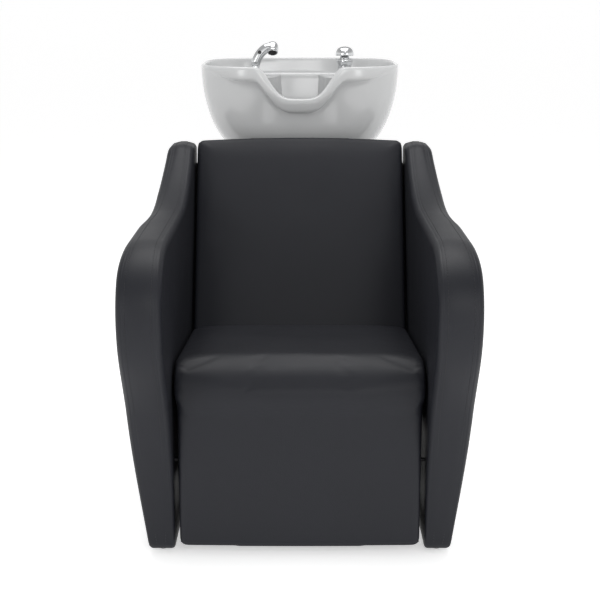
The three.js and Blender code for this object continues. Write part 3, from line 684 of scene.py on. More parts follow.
def grooved(points: np.ndarray, normals: np.ndarray, line: np.ndarray, depth: float, width: float) -> np.ndarray:
    """Presses a seam into a surface.

    Args:
        points: The surface's points.
        normals: Their normals.
        line: Points along the seam, closer together than `width`.
        depth: How deep the seam is at its middle.
        width: Its reach to either side.

    Returns:
        The moved points.
    """
    moved = points.copy()
    low, high = line.min(0) - 3 * width, line.max(0) + 3 * width
    near = np.where(np.all((points >= low) & (points <= high), axis=1))[0]
    for index in near:
        gap = np.min(np.linalg.norm(line - points[index], axis=1))
        moved[index] -= normals[index] * depth * math.exp(-((gap / width) ** 2))
    return moved


@dataclass(frozen=True)
class Arm:
    """One upholstered arm: flat inside, bowed outside, with a sewn band round its front and top."""

    side: Side
    foot: float = 12
    nose: float = 540
    rest: float = 672
    setback: float = 158
    top: float = 785
    rear: float = 933.5
    brow: float = 815.5
    inner: float = 260
    width: float = 88
    rear_width: float = 74
    top_width: float = 62
    foot_width: float = 52
    cushion_front: float = 146
    corner: float = 20
    step: float = 9.0
    edge: float = 16.0
    """Radius of the band's long edges."""
    seam: float = 12.0
    """The seam's distance from either face."""
    crown: float = 2.4
    """How far the band bulges between its seams."""

    def outline(self) -> np.ndarray:
        """The side view, counter-clockwise as [station, height] in millimetres."""
        f, c, nose, rest, top, rear = self.foot, self.corner, self.nose, self.rest, self.top, self.rear
        brow, heel = self.brow, self.rear - 50
        shape = Outline((heel - c, f)).curve(heel, f, heel + 1.2, f + c, steps=8)
        shape.line(rear - 2, top - 25).curve(rear, top, rear - 25, top, steps=12)
        shape.line(brow + 25, top).curve(brow, top, brow - 20, top - 20, steps=12)
        shape.curve(brow - 110, rest + 40, brow - 190, rest + 4, brow - 340, rest + 2)
        shape.line(160, rest).curve(60, rest, 0, nose + 70, 0, nose)
        shape.curve(0, nose - 90, 60, f + 400, 98, f + 318)
        shape.curve(self.setback - 26, f + 230, self.setback + 2, f + 130, self.setback, f + c)
        shape.curve(self.setback, f, self.setback + c, f, steps=8)
        return shape.even(self.step)

    def outer(self, flat: np.ndarray) -> np.ndarray:
        """Distance of the outer face from the centre line: bowed in height, drawn in towards the rear."""
        foot, top = self.inner + self.foot_width, self.inner + self.top_width
        wide, narrow, rest = self.inner + self.width, self.inner + self.rear_width, self.rest
        bow = Outline((foot, 0)).curve(foot + 18, 120, wide, 230, wide, 400).line(wide, rest - 60)
        bow.curve(wide, rest - 10, top + 12, rest, top + 11, rest + 25).line(top, self.top + 10)
        points = np.array(bow.points)
        start = self.cushion_front + 40
        taper = Outline((wide, start)).curve(wide, start + 130, narrow, start + 160, narrow, start + 300)
        plan = np.array(taper.points)
        in_height = np.interp(flat[:, 1], points[:, 1], points[:, 0])
        return np.minimum(in_height, np.interp(flat[:, 0], plan[:, 1], plan[:, 0]))

    def place(self, flat: np.ndarray, across: np.ndarray) -> np.ndarray:
        """Row-frame points from [station, height] and a distance from the centre line."""
        x = self.side.value * across * MM
        return np.stack([x, ARMS_FRONT + flat[:, 0] * MM, flat[:, 1] * MM], 1)

    def section(self) -> list:
        """Half of the band's cross-section, as outward offsets and distances from a face."""
        rows = []
        for turn in (*np.linspace(0, 48, 7), 56, 63, 69, 73, 77, 82, 90):
            a = math.radians(turn)
            across = self.edge * (1 - math.cos(a))
            pull = 0.8 * math.exp(-(((across - self.seam) / 1.5) ** 2))
            rows.append((self.edge * (math.sin(a) - 1) - pull, across))
        return [*rows, (self.crown * 0.55, self.edge + 6)]

    def build(self, finishes: Finishes) -> list:
        """Makes the cover and its topstitching."""
        outline = self.outline()
        outward = normals_of(outline)
        ease = self.ease(outline[:, 1])
        full = self.fullness(outline[:, 1])
        near = []
        for offset, across in self.section():
            out = offset * (full if offset > 0 else ease)
            near.append((outline + outward * out[:, None], across * ease))
        rings = [self.ring(flat, across, 0) for flat, across in near]
        middle = outline + outward * (self.crown * self.fullness(outline[:, 1]))[:, None]
        rings += [self.ring(middle, 0, share) for share in (0.38, 0.5, 0.62)]
        rings += [self.ring(flat, -across, 1) for flat, across in reversed(near)]
        count = len(outline)
        faces = ring_faces(len(rings), count)
        total = len(rings) * count
        faces += [tuple(range(count)), tuple(range(total - count, total))]
        cover = mesh_object(f"arm_upholstery_{self.side.label}", np.concatenate(rings), faces, finishes.vinyl)
        self.shape_panels(cover)
        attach(cover, "chair")
        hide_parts(f"arm_cover_{self.side.label}")
        return [cover, *self.stitches(outline, outward, finishes)]

    def ease(self, heights: np.ndarray) -> np.ndarray:
        """How round the band's edges are at some heights, as a share: they are tighter at the foot."""
        return 0.5 + 0.5 * np.clip((heights - 40) / 300, 0, 1)

    def fullness(self, heights: np.ndarray) -> np.ndarray:
        """How much the band bulges at some heights, as a share: it is flat where it stands on its glides."""
        return np.clip((heights - self.foot - 8) / 50, 0, 1)

    def ring(self, flat: np.ndarray, across: "float | np.ndarray", share: float) -> np.ndarray:
        """One ring of the band.

        Args:
            flat: The ring's points as [station, height].
            across: Distance added, in millimetres.
            share: Share of the arm's own thickness added, from its inner face.

        Returns:
            The ring's row-frame points.
        """
        thick = self.outer(flat) - self.inner
        return self.place(flat, self.inner + thick * share + across)

    def shape_panels(self, cover: bpy.types.Object) -> None:
        """Divides the two side panels and gives the outer one its bow and a slight crown."""
        work = bmesh.new()
        work.from_mesh(cover.data)
        for axis, start, stop in ((2, 0.03, 0.79), (1, ARMS_FRONT + 0.03, 0.26)):
            for value in np.arange(start, stop, 0.022):
                point, normal = [0, 0, 0], [0, 0, 0]
                point[axis], normal[axis] = float(value), 1
                parts = set(face for face in work.faces if len(face.verts) > 4)
                for face in tuple(parts):
                    parts.update(face.edges)
                    parts.update(face.verts)
                bmesh.ops.bisect_plane(work, geom=list(parts), plane_co=point, plane_no=normal)
        bmesh.ops.triangulate(work, faces=[face for face in work.faces if len(face.verts) > 4])
        outline = self.outline()
        sign = self.side.value
        for vertex in work.verts:
            across = abs(vertex.co.x) / MM
            flat = np.array([(vertex.co.y - ARMS_FRONT) / MM, vertex.co.z / MM])
            inset = self.edge * float(self.ease(flat[1])) - 0.6
            depth = float(np.min(np.linalg.norm(outline - flat, axis=1))) - inset
            if depth < 0:
                continue
            if across < self.inner + 5:
                vertex.co.x = sign * (self.inner + 0.1) * MM
            else:
                swell = self.crown * (1 - math.exp(-depth / 45))
                vertex.co.x = sign * (float(self.outer(flat[None])[0]) + swell) * MM
        work.to_mesh(cover.data)
        work.free()
        cover.data.polygons.foreach_set("use_smooth", [True] * len(cover.data.polygons))

    def stitches(self, outline: np.ndarray, outward: np.ndarray, finishes: Finishes) -> list:
        """Sews the two rows of topstitching along the band's front and top."""
        seen = np.where(outline[:, 1] > self.foot + 12)[0]
        seen = np.array([i for i in seen if outline[i, 0] < self.rear - 60 or outline[i, 1] > self.top - 40])
        start = int(np.argmax(np.diff(seen) > 3)) + 1 if np.any(np.diff(seen) > 3) else 0
        order = np.roll(seen, -start)
        rows = []
        lift = np.stack([np.zeros(len(order)), *outward[order].T], 1)
        flat = outline[order] + outward[order] * self.crown * 0.45
        for label, across, share in (("inner", self.seam + 7, 0), ("outer", -self.seam - 7, 1)):
            line = self.ring(flat, across, share)
            row = Stitching().sew(f"arm_topstitch_{label}_{self.side.label}", line, lift, finishes.thread)
            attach(row, "chair")
            rows.append(row)
        return rows


@dataclass(frozen=True)
class Seat:
    """The seat cover: a padded cushion whose cover runs over a round nose and down the front."""

    half: float = 256
    apron_half: float = 250
    front: float = 147
    height: float = 417
    back_height: float = 371.5
    back: float = 648.4
    floor: float = 301
    nose: float = 63
    apron: float = 28
    ground: float = 25
    lean: float = math.radians(27)

    def outline(self) -> np.ndarray:
        """The side view, counter-clockwise as [station, height] in millimetres."""
        f, r = self.front, self.nose
        hidden = self.back + (self.floor - self.back_height) * math.tan(self.lean)
        shape = Outline((f + 3 + self.apron, self.ground)).line(f + 3 + self.apron, self.floor)
        shape.line(hidden, self.floor).line(self.back, self.back_height)
        shape.line(f + r * 1.2, self.height - 2)
        shape.curve(f + r * 0.5, self.height + 1, f, self.height - r * 0.45, f, self.height - r, steps=24)
        shape.curve(f, self.height - r - 45, f + 4, self.floor + 30, f + 4, self.floor + 2, steps=16)
        shape.line(f + 4, self.ground)
        return shape.even(6)

    def half_at(self, heights: np.ndarray) -> np.ndarray:
        """Half-width at some heights: the front below the nose is narrower than the cushion."""
        t = np.clip((heights - (self.floor + 12)) / 42, 0, 1)
        return self.apron_half + (self.half - self.apron_half) * t * t * (3 - 2 * t)

    def build(self, finishes: Finishes) -> list:
        """Makes the cover and its seams."""
        outline = self.outline()
        outward = normals_of(outline)
        section = [(-13, 0), (-8, 1.2), (-4, 4), (-1.4, 8.5), (0, 15)]
        rows = [(n, -1, d) for n, d in section]
        rows += [(1.5 * math.cos(u * math.pi / 2), u, None) for u in np.linspace(-0.86, 0.86, 23)]
        rows += [(n, 1, d) for n, d in reversed(section)]
        rings = []
        for offset, u, inset in rows:
            flat = outline + outward * offset
            half = self.half_at(outline[:, 1])
            x = u * (half - inset) if inset is not None else u * half
            rings.append(np.stack([x * MM, ARMS_FRONT + flat[:, 0] * MM, flat[:, 1] * MM], 1))
        count = len(outline)
        total = len(rings) * count
        faces = ring_faces(len(rings), count)
        faces += [tuple(range(count)), tuple(range(total - count, total))]
        cover = mesh_object("seat_upholstery", np.concatenate(rings), faces, finishes.vinyl)
        Stuffing(cap=0.006).fill(cover, self.held)
        self.seams(cover)
        cover.data.materials.clear()
        cover.data.materials.append(finishes.vinyl)
        soften = cover.modifiers.new("soften", "SUBSURF")
        soften.levels = soften.render_levels = 1
        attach(cover, "chair")
        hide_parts("seat_cushion", "front_apron")
        return [cover]

    def held(self, points: np.ndarray) -> np.ndarray:
        """The front panel and the underside are stapled down; the cushion is free."""
        stations = (points[:, 1] - ARMS_FRONT) / MM
        heights = points[:, 2] / MM
        low = np.clip((self.floor + 22 - heights) / 16, 0, 1)
        behind = np.clip((stations - self.back + 18) / 10, 0, 1) * (heights < self.back_height - 6)
        sides = np.clip((np.abs(points[:, 0]) / MM - self.half + 9) / 6, 0, 1) * 0.8
        return np.maximum(low, np.maximum(behind, sides))

    def seams(self, cover: bpy.types.Object) -> None:
        """Presses in the puckered crease where the nose meets the front panel at either end."""
        points = coordinates(cover.data)
        normals = np.empty_like(points).ravel()
        cover.data.vertices.foreach_get("normal", normals)
        normals = normals.reshape(-1, 3)
        for side in Side:
            for drop, reach in ((0, 34), (9, 24), (-9, 20)):
                start = np.array([side.value * (self.half - 2), self.front + 8, self.height - self.nose - 28 + drop])
                end = start + np.array([-side.value * reach, -2, drop * 0.7])
                line = np.linspace(start, end, 12)
                line = np.stack([line[:, 0] * MM, ARMS_FRONT + line[:, 1] * MM, line[:, 2] * MM], 1)
                points = grooved(points, normals, line, 0.0022, 0.005)
        cover.data.vertices.foreach_set("co", points.ravel())
        cover.data.update()


@dataclass(frozen=True)
class Backrest:
    """The leaning backrest pad with a seam round its edge."""

    half: float = 255
    low: float = -66
    high: float = 486
    thick: float = 49
    corner: float = 15
    foot: tuple = (649, 372)
    lean: float = math.radians(27)
    crown: float = 7

    def outline(self) -> np.ndarray:
        """The front view, counter-clockwise as [x, height up the lean] in millimetres."""
        h, c, low, high = self.half, self.corner, self.low, self.high
        shape = Outline((c - h, low)).line(h - c, low).curve(h, low, h, low + c, steps=8)
        shape.line(h, high - 9 - c).curve(h, high - 9, h - c, high - 7, steps=8)
        shape.curve(0, high + 7, c - h, high - 7, steps=40).curve(-h, high - 9, -h, high - 9 - c, steps=8)
        shape.line(-h, low + c).curve(-h, low, c - h, low, steps=8)
        return shape.even(7)

    def place(self, flat: np.ndarray, behind: np.ndarray) -> np.ndarray:
        """Row-frame points from [x, height up the lean] and a depth behind the face."""
        y = self.foot[0] + flat[:, 1] * math.sin(self.lean) + behind * math.cos(self.lean)
        z = self.foot[1] + flat[:, 1] * math.cos(self.lean) - behind * math.sin(self.lean)
        return np.stack([flat[:, 0] * MM, ARMS_FRONT + y * MM, z * MM], 1)

    def build(self, finishes: Finishes) -> list:
        """Makes the pad and its side seam."""
        outline = self.outline()
        outward = normals_of(outline)
        t = self.thick
        section = [(-16, 0.2), (-9, 1.4), (-4, 4.5), (-1, 9.5), (0, 16), (0, t - 8), (-2, t - 2), (-6, t)]
        rings = [self.place(outline + outward * n, np.full(len(outline), float(d))) for n, d in section]
        middle = outline.mean(0)
        inner = []
        for share in (0.86, 0.68, 0.46, 0.22):
            flat = middle + (outline + outward * -16 - middle) * share
            inner.append(self.place(flat, np.full(len(outline), -self.crown * (1 - share**2.4) * 0.4)))
        rings = inner[::-1] + rings
        count = len(outline)
        total = len(rings) * count
        faces = ring_faces(len(rings), count)
        faces += [tuple(range(count)), tuple(range(total - count, total))]
        pad = mesh_object("back_upholstery", np.concatenate(rings), faces, finishes.vinyl)
        Stuffing(cap=0.006).fill(pad, self.held)
        self.seams(pad, outline, outward)
        pad.data.materials.clear()
        pad.data.materials.append(finishes.vinyl)
        soften = pad.modifiers.new("soften", "SUBSURF")
        soften.levels = soften.render_levels = 1
        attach(pad, "chair")
        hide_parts("back_cushion")
        return [pad]

    def held(self, points: np.ndarray) -> np.ndarray:
        """The pad is glued to its board and its sides are tight."""
        y = (points[:, 1] - ARMS_FRONT) / MM - self.foot[0]
        z = points[:, 2] / MM - self.foot[1]
        behind = y * math.cos(self.lean) - z * math.sin(self.lean)
        up = y * math.sin(self.lean) + z * math.cos(self.lean)
        rear = np.clip((behind - self.thick + 12) / 8, 0, 1)
        edge = np.clip((np.abs(points[:, 0]) / MM - self.half + 7) / 5, 0, 1) * 0.85
        top = np.clip((up - self.high + 18) / 8, 0, 1) * 0.5
        return np.maximum(rear, np.maximum(edge, top))

    def seams(self, pad: bpy.types.Object, outline: np.ndarray, outward: np.ndarray) -> None:
        """Presses the boxing seam in along the pad's side."""
        points = coordinates(pad.data)
        normals = np.empty_like(points).ravel()
        pad.data.vertices.foreach_get("normal", normals)
        line = self.place(outline, np.full(len(outline), self.thick - 14.0))
        line = line[line[:, 2] > 0.4]
        points = grooved(points, normals.reshape(-1, 3), line, 0.0018, 0.004)
        pad.data.vertices.foreach_set("co", points.ravel())
        pad.data.update()


# ---------------------------------------------------------------- basin


@dataclass(frozen=True)
class Basin:
    """The glazed basin: a squarish bowl with a neck notch, a rolled front lip and two tap decks."""

    rim: float = 978
    width: float = 514
    depth: float = 440
    height: float = 243
    squareness: float = 3.2
    foot: float = 0.5
    floor: float = 16
    lip: float = 11
    front_lip_height: float = 34
    front_lip_width: float = 26
    front_lip_reach: float = 20
    rim_fall: float = 7
    ledge: float = 44
    notch_depth: float = 78
    notch_half: float = 118
    middle: float = 1108.547
    tap_x: float = 122
    tap_offset: float = 116
    waste_offset: float = 40
    columns: int = 216

    @property
    def bottom(self) -> float:
        """Height of the flat underside."""
        return self.rim - self.height

    def share(self, z: float) -> float:
        """Share of the plan that the outside reaches at a height."""
        t = min(1.0, (z - self.bottom) / (0.93 * self.height))
        return self.foot + (1 - self.foot) * math.sqrt(max(0.0, 1 - (1 - t) ** 2))

    def profile(self, angle: float) -> np.ndarray:
        """The wall in one direction, from the underside's middle over the rim to the floor's middle."""
        across = abs(math.cos(angle)) / (self.width / 2)
        along = abs(math.sin(angle)) / (self.depth / 2)
        n = self.squareness
        radius = (across**n + along**n) ** (-1 / n)
        to_front = -math.sin(angle)
        from_middle = min(1.0, abs(radius * math.cos(angle)) / self.notch_half) if to_front > 0 else 1.0
        forward = (1 + radius / (self.depth / 2) * to_front) / 2
        notch = self.notch_depth * (1 + math.cos(math.pi * from_middle**1.8)) / 2
        rim = self.rim - self.rim_fall * forward - notch
        front = smooth(0.45, 0.85, to_front)
        towards = math.atan2(self.tap_x + 8, self.tap_offset)
        corner = min(1.0, abs(abs(math.pi / 2 - angle) - towards) / 0.72)
        shelf = (1 + math.cos(math.pi * corner**1.6)) / 2 if math.sin(angle) > 0 else 0.0
        reach = self.front_lip_reach * front
        lip = self.lip + (self.front_lip_width - self.lip) * front
        lip_foot = rim - 8 - (self.front_lip_height - 8) * front
        ledge = min(self.rim - self.ledge, rim - 18)
        ledge_in = min(1 - shelf * 0.52, 1 - (lip + 14) / radius)
        inner_foot = self.foot - 0.11
        low = self.bottom + self.floor
        points = [(0, self.bottom), (radius * self.foot, self.bottom)]
        for share in (0.07, 0.2, 0.42, 0.72, 0.97):
            z = self.bottom + (lip_foot - self.bottom) * share
            recess = reach * (1 - 0.75 * (1 - smooth(0.1, 0.7, share)))
            points.append((radius * self.share(z) - recess, z))
        points.append((radius * self.share(lip_foot) - 1, lip_foot))
        points += [(radius * self.share(rim), lip_foot + 5 + 10 * front), (radius - 1, rim - 4)]
        points += [(radius - 4, rim), (radius - lip + 3, rim), (radius - lip, rim - 4)]
        points += [(radius - lip - 4, ledge + 3), (radius - lip - 8, ledge), (radius * ledge_in, ledge)]
        for share in (0.92, 0.5, 0.22, 0.06, 0):
            z = low + (ledge - low) * share
            bulge = math.sqrt(1 - (1 - share) ** 2)
            points.append((radius * (inner_foot + (ledge_in - inner_foot) * bulge), z))
        points.append((0, low - 3))
        return rounded(points, 2, 0.24)

    def build(self, finishes: Finishes) -> list:
        """Makes the basin and drills it for the waste and the taps."""
        vertices = []
        angles = [2 * math.pi * i / self.columns - math.pi / 2 for i in range(self.columns)]
        for angle in angles:
            profile = self.profile(angle if angle <= math.pi else angle - 2 * math.pi)
            for r, z in profile:
                y = station(self.middle + r * math.sin(angle))
                vertices.append((r * math.cos(angle) * MM, y, z * MM))
        faces = ring_faces(self.columns, len(profile), closed=True)
        faces = [face for face in faces if not (face[1] - face[0] < 0)]
        bowl = mesh_object("basin_glazed", np.array(vertices), faces, finishes.glaze)
        for tool in self.tools():
            cut = bowl.modifiers.new(tool.name, "BOOLEAN")
            cut.operation, cut.object, cut.solver = "DIFFERENCE", tool, "EXACT"
        apply_modifiers(bowl)
        for tool in [o for o in bpy.data.objects if o.name.startswith("drill_")]:
            bpy.data.objects.remove(tool)
        bowl.data.polygons.foreach_set("use_smooth", [True] * len(bowl.data.polygons))
        bowl.data.set_sharp_from_angle(angle=math.radians(50))
        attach(bowl, "basin_assembly")
        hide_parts("basin")
        return [bowl]

    def tools(self) -> list:
        """The cutters for the waste hole, the tap holes and the recesses under the ledge."""
        made = []
        tap_y = station(self.middle + self.tap_offset)
        deck = (self.rim - self.ledge) * MM
        holes = [(0.0, station(self.middle + self.waste_offset), 0.024, self.bottom * MM - 0.01, 0.05)]
        holes += [(s.value * self.tap_x * MM, tap_y, 0.014, deck - 0.03, 0.05) for s in Side]
        for index, (x, y, radius, low, tall) in enumerate(holes):
            place = Matrix.Translation((x, y, low))
            profile = [(0, 0), (radius / MM, 0), (radius / MM, tall / MM), (0, tall / MM)]
            made.append(lathe(f"drill_{index}", profile, place, None, 48, passes=0))
        for side in Side:
            x = side.value * (self.tap_x + 6) * MM
            low, high = (self.bottom - 5) * MM, deck - 0.012
            corners = [(x + i * 0.032, tap_y + j * 0.032, z) for z in (low, high) for i, j in CORNERS]
            made.append(mesh_object(f"drill_{side.label}", np.array(corners), BOX_FACES, None))
        return made


CORNERS = ((-1, -1), (1, -1), (1, 1), (-1, 1))
BOX_FACES = ((0, 1, 2, 3), (4, 5, 6, 7), (0, 1, 5, 4), (1, 2, 6, 5), (2, 3, 7, 6), (3, 0, 4, 7))


# ---------------------------------------------------------------- taps and waste


@dataclass(frozen=True)
class Taps:
    """The mixer, and the hand spray in its holder, on the basin's ledge."""

    x: float = 122
    tap_station: float = 1224.547
    deck: float = 934
    rim: float = 978

    def upright(self, x: float) -> Matrix:
        """A vertical axis through a tap hole."""
        return Matrix.Translation((x * MM, station(self.tap_station), 0))

    def finish(self, made: bpy.types.Object, body: str, node: str) -> bpy.types.Object:
        """Puts a piece on its body in place of a frame node."""
        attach(made, body)
        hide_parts(node)
        return made

    def mixer(self, finishes: Finishes) -> list:
        """Makes the mixer's body, its turning ring and its cap with the finger lever."""
        d = self.deck
        neck = d + 42
        body = [(0, d - 46), (13, d - 46), (13, d + 0.3), (25, d + 0.3), (25, d + 4.4), (23.4, d + 6.2)]
        body += [(20, d + 9), (19, d + 14), (18.8, neck - 16), (19.4, neck - 11), (21.6, neck - 6.5)]
        body += [(22, neck - 5), (22, neck - 0.6), (21.4, neck), (0, neck)]
        low = neck + 0.4
        ring = [(0, low), (21.4, low), (22, low + 0.6), (22, low + 3.4), (21.4, low + 4), (13, low + 4)]
        ring += [(12.6, low + 9), (8.8, low + 10), (8.8, low + 20), (0, low + 20)]
        foot = low + 11
        cap = [(20, foot + 8), (20, foot), (24.4, foot), (25, foot + 0.7), (25, foot + 6.5), (23.6, foot + 11.5)]
        cap += [(20, foot + 17.6), (15, foot + 21.2), (9, foot + 23.4), (0, foot + 24.5)]
        cap += [(0, foot + 20), (9, foot + 19), (17, foot + 14), (20, foot + 8)]
        place = self.upright(self.x)
        parts = [
            self.finish(lathe("mixer_column", body, place, finishes.chrome), "basin_assembly", "mixer_body"),
            self.finish(lathe("mixer_turning_ring", ring, place, finishes.chrome), "mixer_ring", "mixer_swivel"),
        ]
        dome = lathe("mixer_dome", cap, place, finishes.chrome, passes=1)
        self.finish(dome, "mixer_cap", "mixer_lever")
        lever = self.lever(foot, finishes)
        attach(lever, "mixer_cap")
        return [*parts, dome, lever]

    def lever(self, foot: float, finishes: Finishes) -> bpy.types.Object:
        """Makes the flat finger lever that stands out of the cap towards the chair."""
        rings = []
        for t in np.linspace(0, 1, 14):
            reach = 19 + 38 * t
            wide = (7.2 - 1.6 * t) * math.sqrt(max(0.0, 1 - max(0.0, (t - 0.82) / 0.18) ** 2.4) + 1e-4)
            tall = 4.4 - 1.7 * t
            middle = foot + 8.5 + 3.0 * t
            for a in np.linspace(0, 2 * math.pi, 20, endpoint=False):
                x = self.x + wide * math.copysign(abs(math.cos(a)) ** 0.7, math.cos(a))
                z = middle + tall * math.copysign(abs(math.sin(a)) ** 0.8, math.sin(a))
                rings.append((x * MM, station(self.tap_station - reach), z * MM))
        faces = ring_faces(14, 20) + [tuple(range(20)), tuple(range(260, 280))]
        return mesh_object("mixer_finger_lever", np.array(rings), faces, finishes.chrome)

    def spray(self, finishes: Finishes) -> list:
        """Makes the holder, and the curved hand spray with its head, face and button."""
        d = self.deck
        place = self.upright(-self.x)
        holder = [(8.4, d - 46), (13, d - 46), (13, d + 0.3), (23, d + 0.3), (23, d + 3.4), (21.4, d + 5)]
        holder += [(17, d + 8), (15.6, d + 12), (15, d + 15.4), (14.4, d + 16), (8.4, d + 16), (8.4, d - 46)]
        neck = d + 16.4
        head = Vector((-74 * MM, station(self.tap_station), (self.rim + 28) * MM))
        path = self.handle_path(neck, head)
        radii = [0.0115, 0.0126] + [0.013] * (len(path) - 5) + [0.0132, 0.0134, 0.0134]
        tail = [(0, d - 20), (7.4, d - 20), (8, d - 19.2), (8, neck), (11.4, neck), (12, neck + 0.8)]
        tail += [(12, neck + 11), (0, neck + 12)]
        tilt = Matrix.Translation(head) @ Matrix.Rotation(-math.radians(35), 4, "X")
        shell = [(0, -10.6), (11.3, -10.6), (11.3, -14), (13.6, -14), (14.4, -13), (15, -9), (14.7, -8), (16, -5)]
        shell += [(16, 5), (14.4, 11), (11, 16), (6, 19), (0, 20)]
        face = [(0, -15.5), (9.6, -15.5), (10.8, -14.6), (11, -10.9), (0, -10.9)]
        pieces = [
            self.finish(lathe("spray_socket", holder, place, finishes.chrome, passes=1), "basin_assembly", "spray_holder"),
            self.finish(sweep("spray_grip", path, radii, finishes.chrome), "hand_spray", "spray_handle"),
            self.finish(lathe("spray_rose", face, tilt, finishes.rubber), "hand_spray", "spray_face"),
        ]
        for made in (
            lathe("spray_tail", tail, place, finishes.chrome),
            lathe("spray_shell", shell, tilt, finishes.chrome, passes=1),
            self.nozzles(tilt, finishes),
        ):
            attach(made, "hand_spray")
            pieces.append(made)
        seat = Matrix.Translation((-109 * MM, station(self.tap_station - 12), (neck + 46) * MM))
        seat = seat @ Matrix.Rotation(math.radians(90), 4, "X")
        button = [(0, -3), (5, -3), (5, 2), (4.4, 2.8), (3, 3), (0, 2.6)]
        pieces.append(
            self.finish(lathe("spray_push_button", button, seat, finishes.nylon, 40), "spray_trigger", "spray_button")
        )
        return pieces

    def handle_path(self, neck: float, head: Vector) -> np.ndarray:
        """Points along the handle's curved middle line."""
        y = station(self.tap_station)
        x = -self.x
        controls = [(x, neck + 10), (x + 4, neck + 25), (x + 14.5, neck + 44), (x + 32, neck + 58)]
        marks = [Vector((a * MM, y, b * MM)) for a, b in controls] + [head + Vector((0, 0, 0.002))]
        line = rounded([tuple(m) for m in marks], 3, 0.25)
        return line

    def nozzles(self, tilt: Matrix, finishes: Finishes) -> bpy.types.Object:
        """Makes the ring of small rubber jets on the spray's face."""
        vertices, faces = [], []
        spots = [(0.0, 0.0)] + [(4.2, 60 * k) for k in range(6)] + [(8.0, 30 * k) for k in range(12)]
        for radius, angle in spots:
            a = math.radians(angle)
            base = len(vertices)
            for size, z in ((0.9, -15.3), (0.7, -16.4)):
                for k in range(8):
                    b = 2 * math.pi * k / 8
                    x = radius * math.cos(a) + size * math.cos(b)
                    y = radius * math.sin(a) + size * math.sin(b)
                    vertices.append(tilt @ (Vector((x, y, z)) * MM))
            faces += [tuple(base + v for v in face) for face in ring_faces(2, 8)]
            faces += [tuple(range(base, base + 8)), tuple(range(base + 8, base + 16))]
        return mesh_object("spray_jets", np.array(vertices), faces, finishes.rubber)

    def build(self, finishes: Finishes) -> list:
        """Makes both taps."""
        return self.mixer(finishes) + self.spray(finishes)


@dataclass(frozen=True)
class RearPanel:
    """The upholstered panel that closes the chair behind."""

    half: float = 258

    def build(self, finishes: Finishes) -> list:
        """Covers the frame's panel in vinyl and softens its edges with a bevel."""
        node = frame["nodes"]["rear_panel"]
        bevel = node.modifiers.new("soft_edge", "BEVEL")
        bevel.width, bevel.segments, bevel.limit_method = 0.005, 4, "ANGLE"
        node.data.materials.clear()
        node.data.materials.append(finishes.vinyl)
        return [node]


# ---------------------------------------------------------------- structure


@dataclass(frozen=True)
class Structure:
    """The frame's own nodes that stay: they get a finish, a fine bevel and smooth shading."""

    bevel: float = 0.0007
    angle: float = math.radians(34)

    def finish_of(self, name: str, slot: str, finishes: Finishes) -> bpy.types.Material:
        """The arms' bolts and the two boards get near-black finishes, painted shade for the gaps beside the front
        panel where they show; the rest follows its slot.
        """
        if name.startswith("arm_bolt"):
            return finishes.blackened
        return finishes.stained if name.endswith("_board") else finishes.for_slot(slot)

    def build(self, finishes: Finishes, hidden: Sequence[str]) -> list:
        """Dresses every node that isn't replaced.

        Args:
            finishes: The materials.
            hidden: The nodes that other pieces stand for.

        Returns:
            The dressed nodes.
        """
        slots = {part["node"]: part["material_slot"] for part in frame["record"]["subparts"]}
        dressed = []
        for name, node in frame["nodes"].items():
            if name in hidden or name == "rear_panel":
                continue
            node.data.materials.clear()
            node.data.materials.append(self.finish_of(name, slots[name], finishes))
            node.data.polygons.foreach_set("use_smooth", [True] * len(node.data.polygons))
            node.data.set_sharp_from_angle(angle=self.angle)
            edge = node.modifiers.new("fine_edge", "BEVEL")
            edge.width, edge.segments = self.bevel, 2
            edge.limit_method, edge.angle_limit = "ANGLE", self.angle
            edge.harden_normals = True
            dressed.append(node)
        return dressed


# ---------------------------------------------------------------- studio


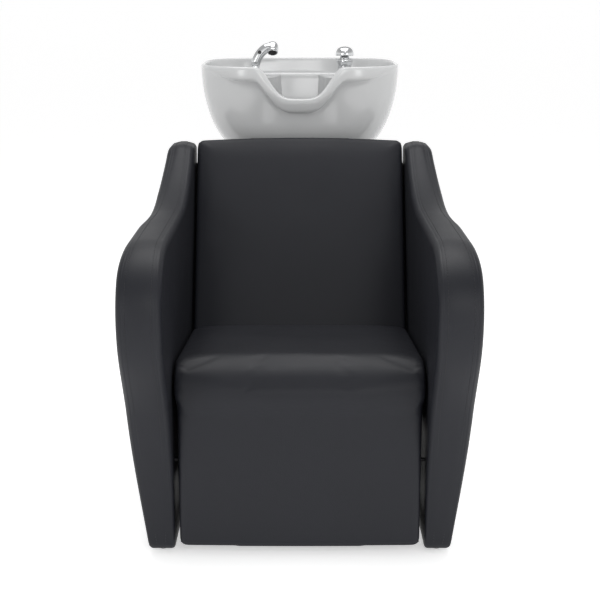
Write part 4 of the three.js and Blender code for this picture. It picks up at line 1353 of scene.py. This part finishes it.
@dataclass(frozen=True)
class Studio:
    """Camera, pale floor and soft light."""

    distance: float = 2.409
    height: float = 1.124
    pitch: float = 12.94
    lens: float = 77.3
    front: float = ARMS_FRONT + 0.065
    sky: float = 0.5
    horizon: float = 1.0
    floor_glow: float = 0.5
    reach: float = 400.0

    def build(self) -> None:
        """Sets up the studio."""
        self.camera()
        self.floor()
        self.lights()

    def camera(self) -> None:
        """Makes the camera."""
        data = bpy.data.cameras.new("camera")
        data.lens, data.sensor_width = self.lens, 36
        camera = bpy.data.objects.new("camera", data)
        camera.location = (0.0005, self.front - self.distance, self.height)
        camera.rotation_euler = (math.radians(90 - self.pitch), 0, 0)
        bpy.context.collection.objects.link(camera)
        bpy.context.scene.camera = camera

    def floor(self) -> None:
        """Makes a wide pale floor."""
        s = Shader("pale_floor")
        s.set(Base_Color=(0.9, 0.9, 0.9, 1), Roughness=0.9, Specular_IOR_Level=0.1)
        s.set(Emission_Color=(1, 1, 1, 1), Emission_Strength=self.floor_glow)
        corners = np.array([(i * self.reach, j * self.reach, 0) for i, j in CORNERS])
        floor = mesh_object("floor", corners, [(0, 1, 2, 3)], s.material)

    def area(self, name: str, place: Sequence[float], aim: Sequence[float], size: Sequence[float], power: float) -> None:
        """Adds one softbox.

        Args:
            name: The light's name.
            place: Where it is.
            aim: The point it faces.
            size: Its width and height.
            power: Its power in watts.
        """
        data = bpy.data.lights.new(name, "AREA")
        data.shape, data.size, data.size_y, data.energy = "RECTANGLE", *size, power
        light = bpy.data.objects.new(name, data)
        light.location = place
        light.rotation_euler = (Vector(aim) - Vector(place)).to_track_quat("-Z", "Y").to_euler()
        bpy.context.collection.objects.link(light)

    def lights(self) -> None:
        """Makes a white surround, brightest at the horizon, and four softboxes."""
        world = bpy.data.worlds.new("surround")
        world.use_nodes = True
        tree = world.node_tree
        background = tree.nodes["Background"]
        background.inputs["Color"].default_value = (1, 1, 1, 1)
        where = tree.nodes.new("ShaderNodeTexCoord")
        parts = tree.nodes.new("ShaderNodeSeparateXYZ")
        fade = tree.nodes.new("ShaderNodeMapRange")
        fade.interpolation_type = "SMOOTHSTEP"
        for socket, value in enumerate((0.05, 0.5, self.horizon, self.sky), 1):
            fade.inputs[socket].default_value = value
        tree.links.new(where.outputs["Generated"], parts.inputs[0])
        tree.links.new(parts.outputs["Z"], fade.inputs[0])
        tree.links.new(fade.outputs[0], background.inputs["Strength"])
        bpy.context.scene.world = world
        bpy.context.scene.view_settings.view_transform = "Standard"
        self.area("overhead", (0, 0.3, 2.9), (0, 0.1, 0.5), (2.2, 1.8), 48)
        self.area("front", (0.6, -3.4, 1.9), (0, 0.0, 0.5), (1.4, 0.9), 20)
        self.area("left_strip", (-1.9, -2.4, 1.1), (-0.2, -0.3, 0.5), (0.5, 1.4), 10)
        self.area("right_strip", (1.9, -2.4, 1.1), (0.2, -0.3, 0.5), (0.5, 1.4), 10)


def main() -> None:
    """Builds the unit in order and reports its pieces."""
    logging.basicConfig(level=logging.INFO, format="%(name)s: %(message)s")
    finishes = Finishes()
    replaced = ["basin", "seat_cushion", "front_apron", "back_cushion", "mixer_body", "mixer_swivel"]
    replaced += ["mixer_lever", "spray_holder", "spray_handle", "spray_face", "spray_button"]
    replaced += [f"arm_cover_{side.label}" for side in Side]
    made = {
        "seat": Seat().build(finishes),
        "backrest": Backrest().build(finishes),
        "left arm": Arm(Side.LEFT).build(finishes),
        "right arm": Arm(Side.RIGHT).build(finishes),
        "basin": Basin().build(finishes),
        "taps": Taps().build(finishes),
        "rear panel": RearPanel().build(finishes),
        "structure": Structure().build(finishes, replaced),
    }
    Studio().build()
    for part, pieces in made.items():
        LOG.info("%s: %s", part, ", ".join(piece.name for piece in pieces))


if __name__ == "__main__":
    main()
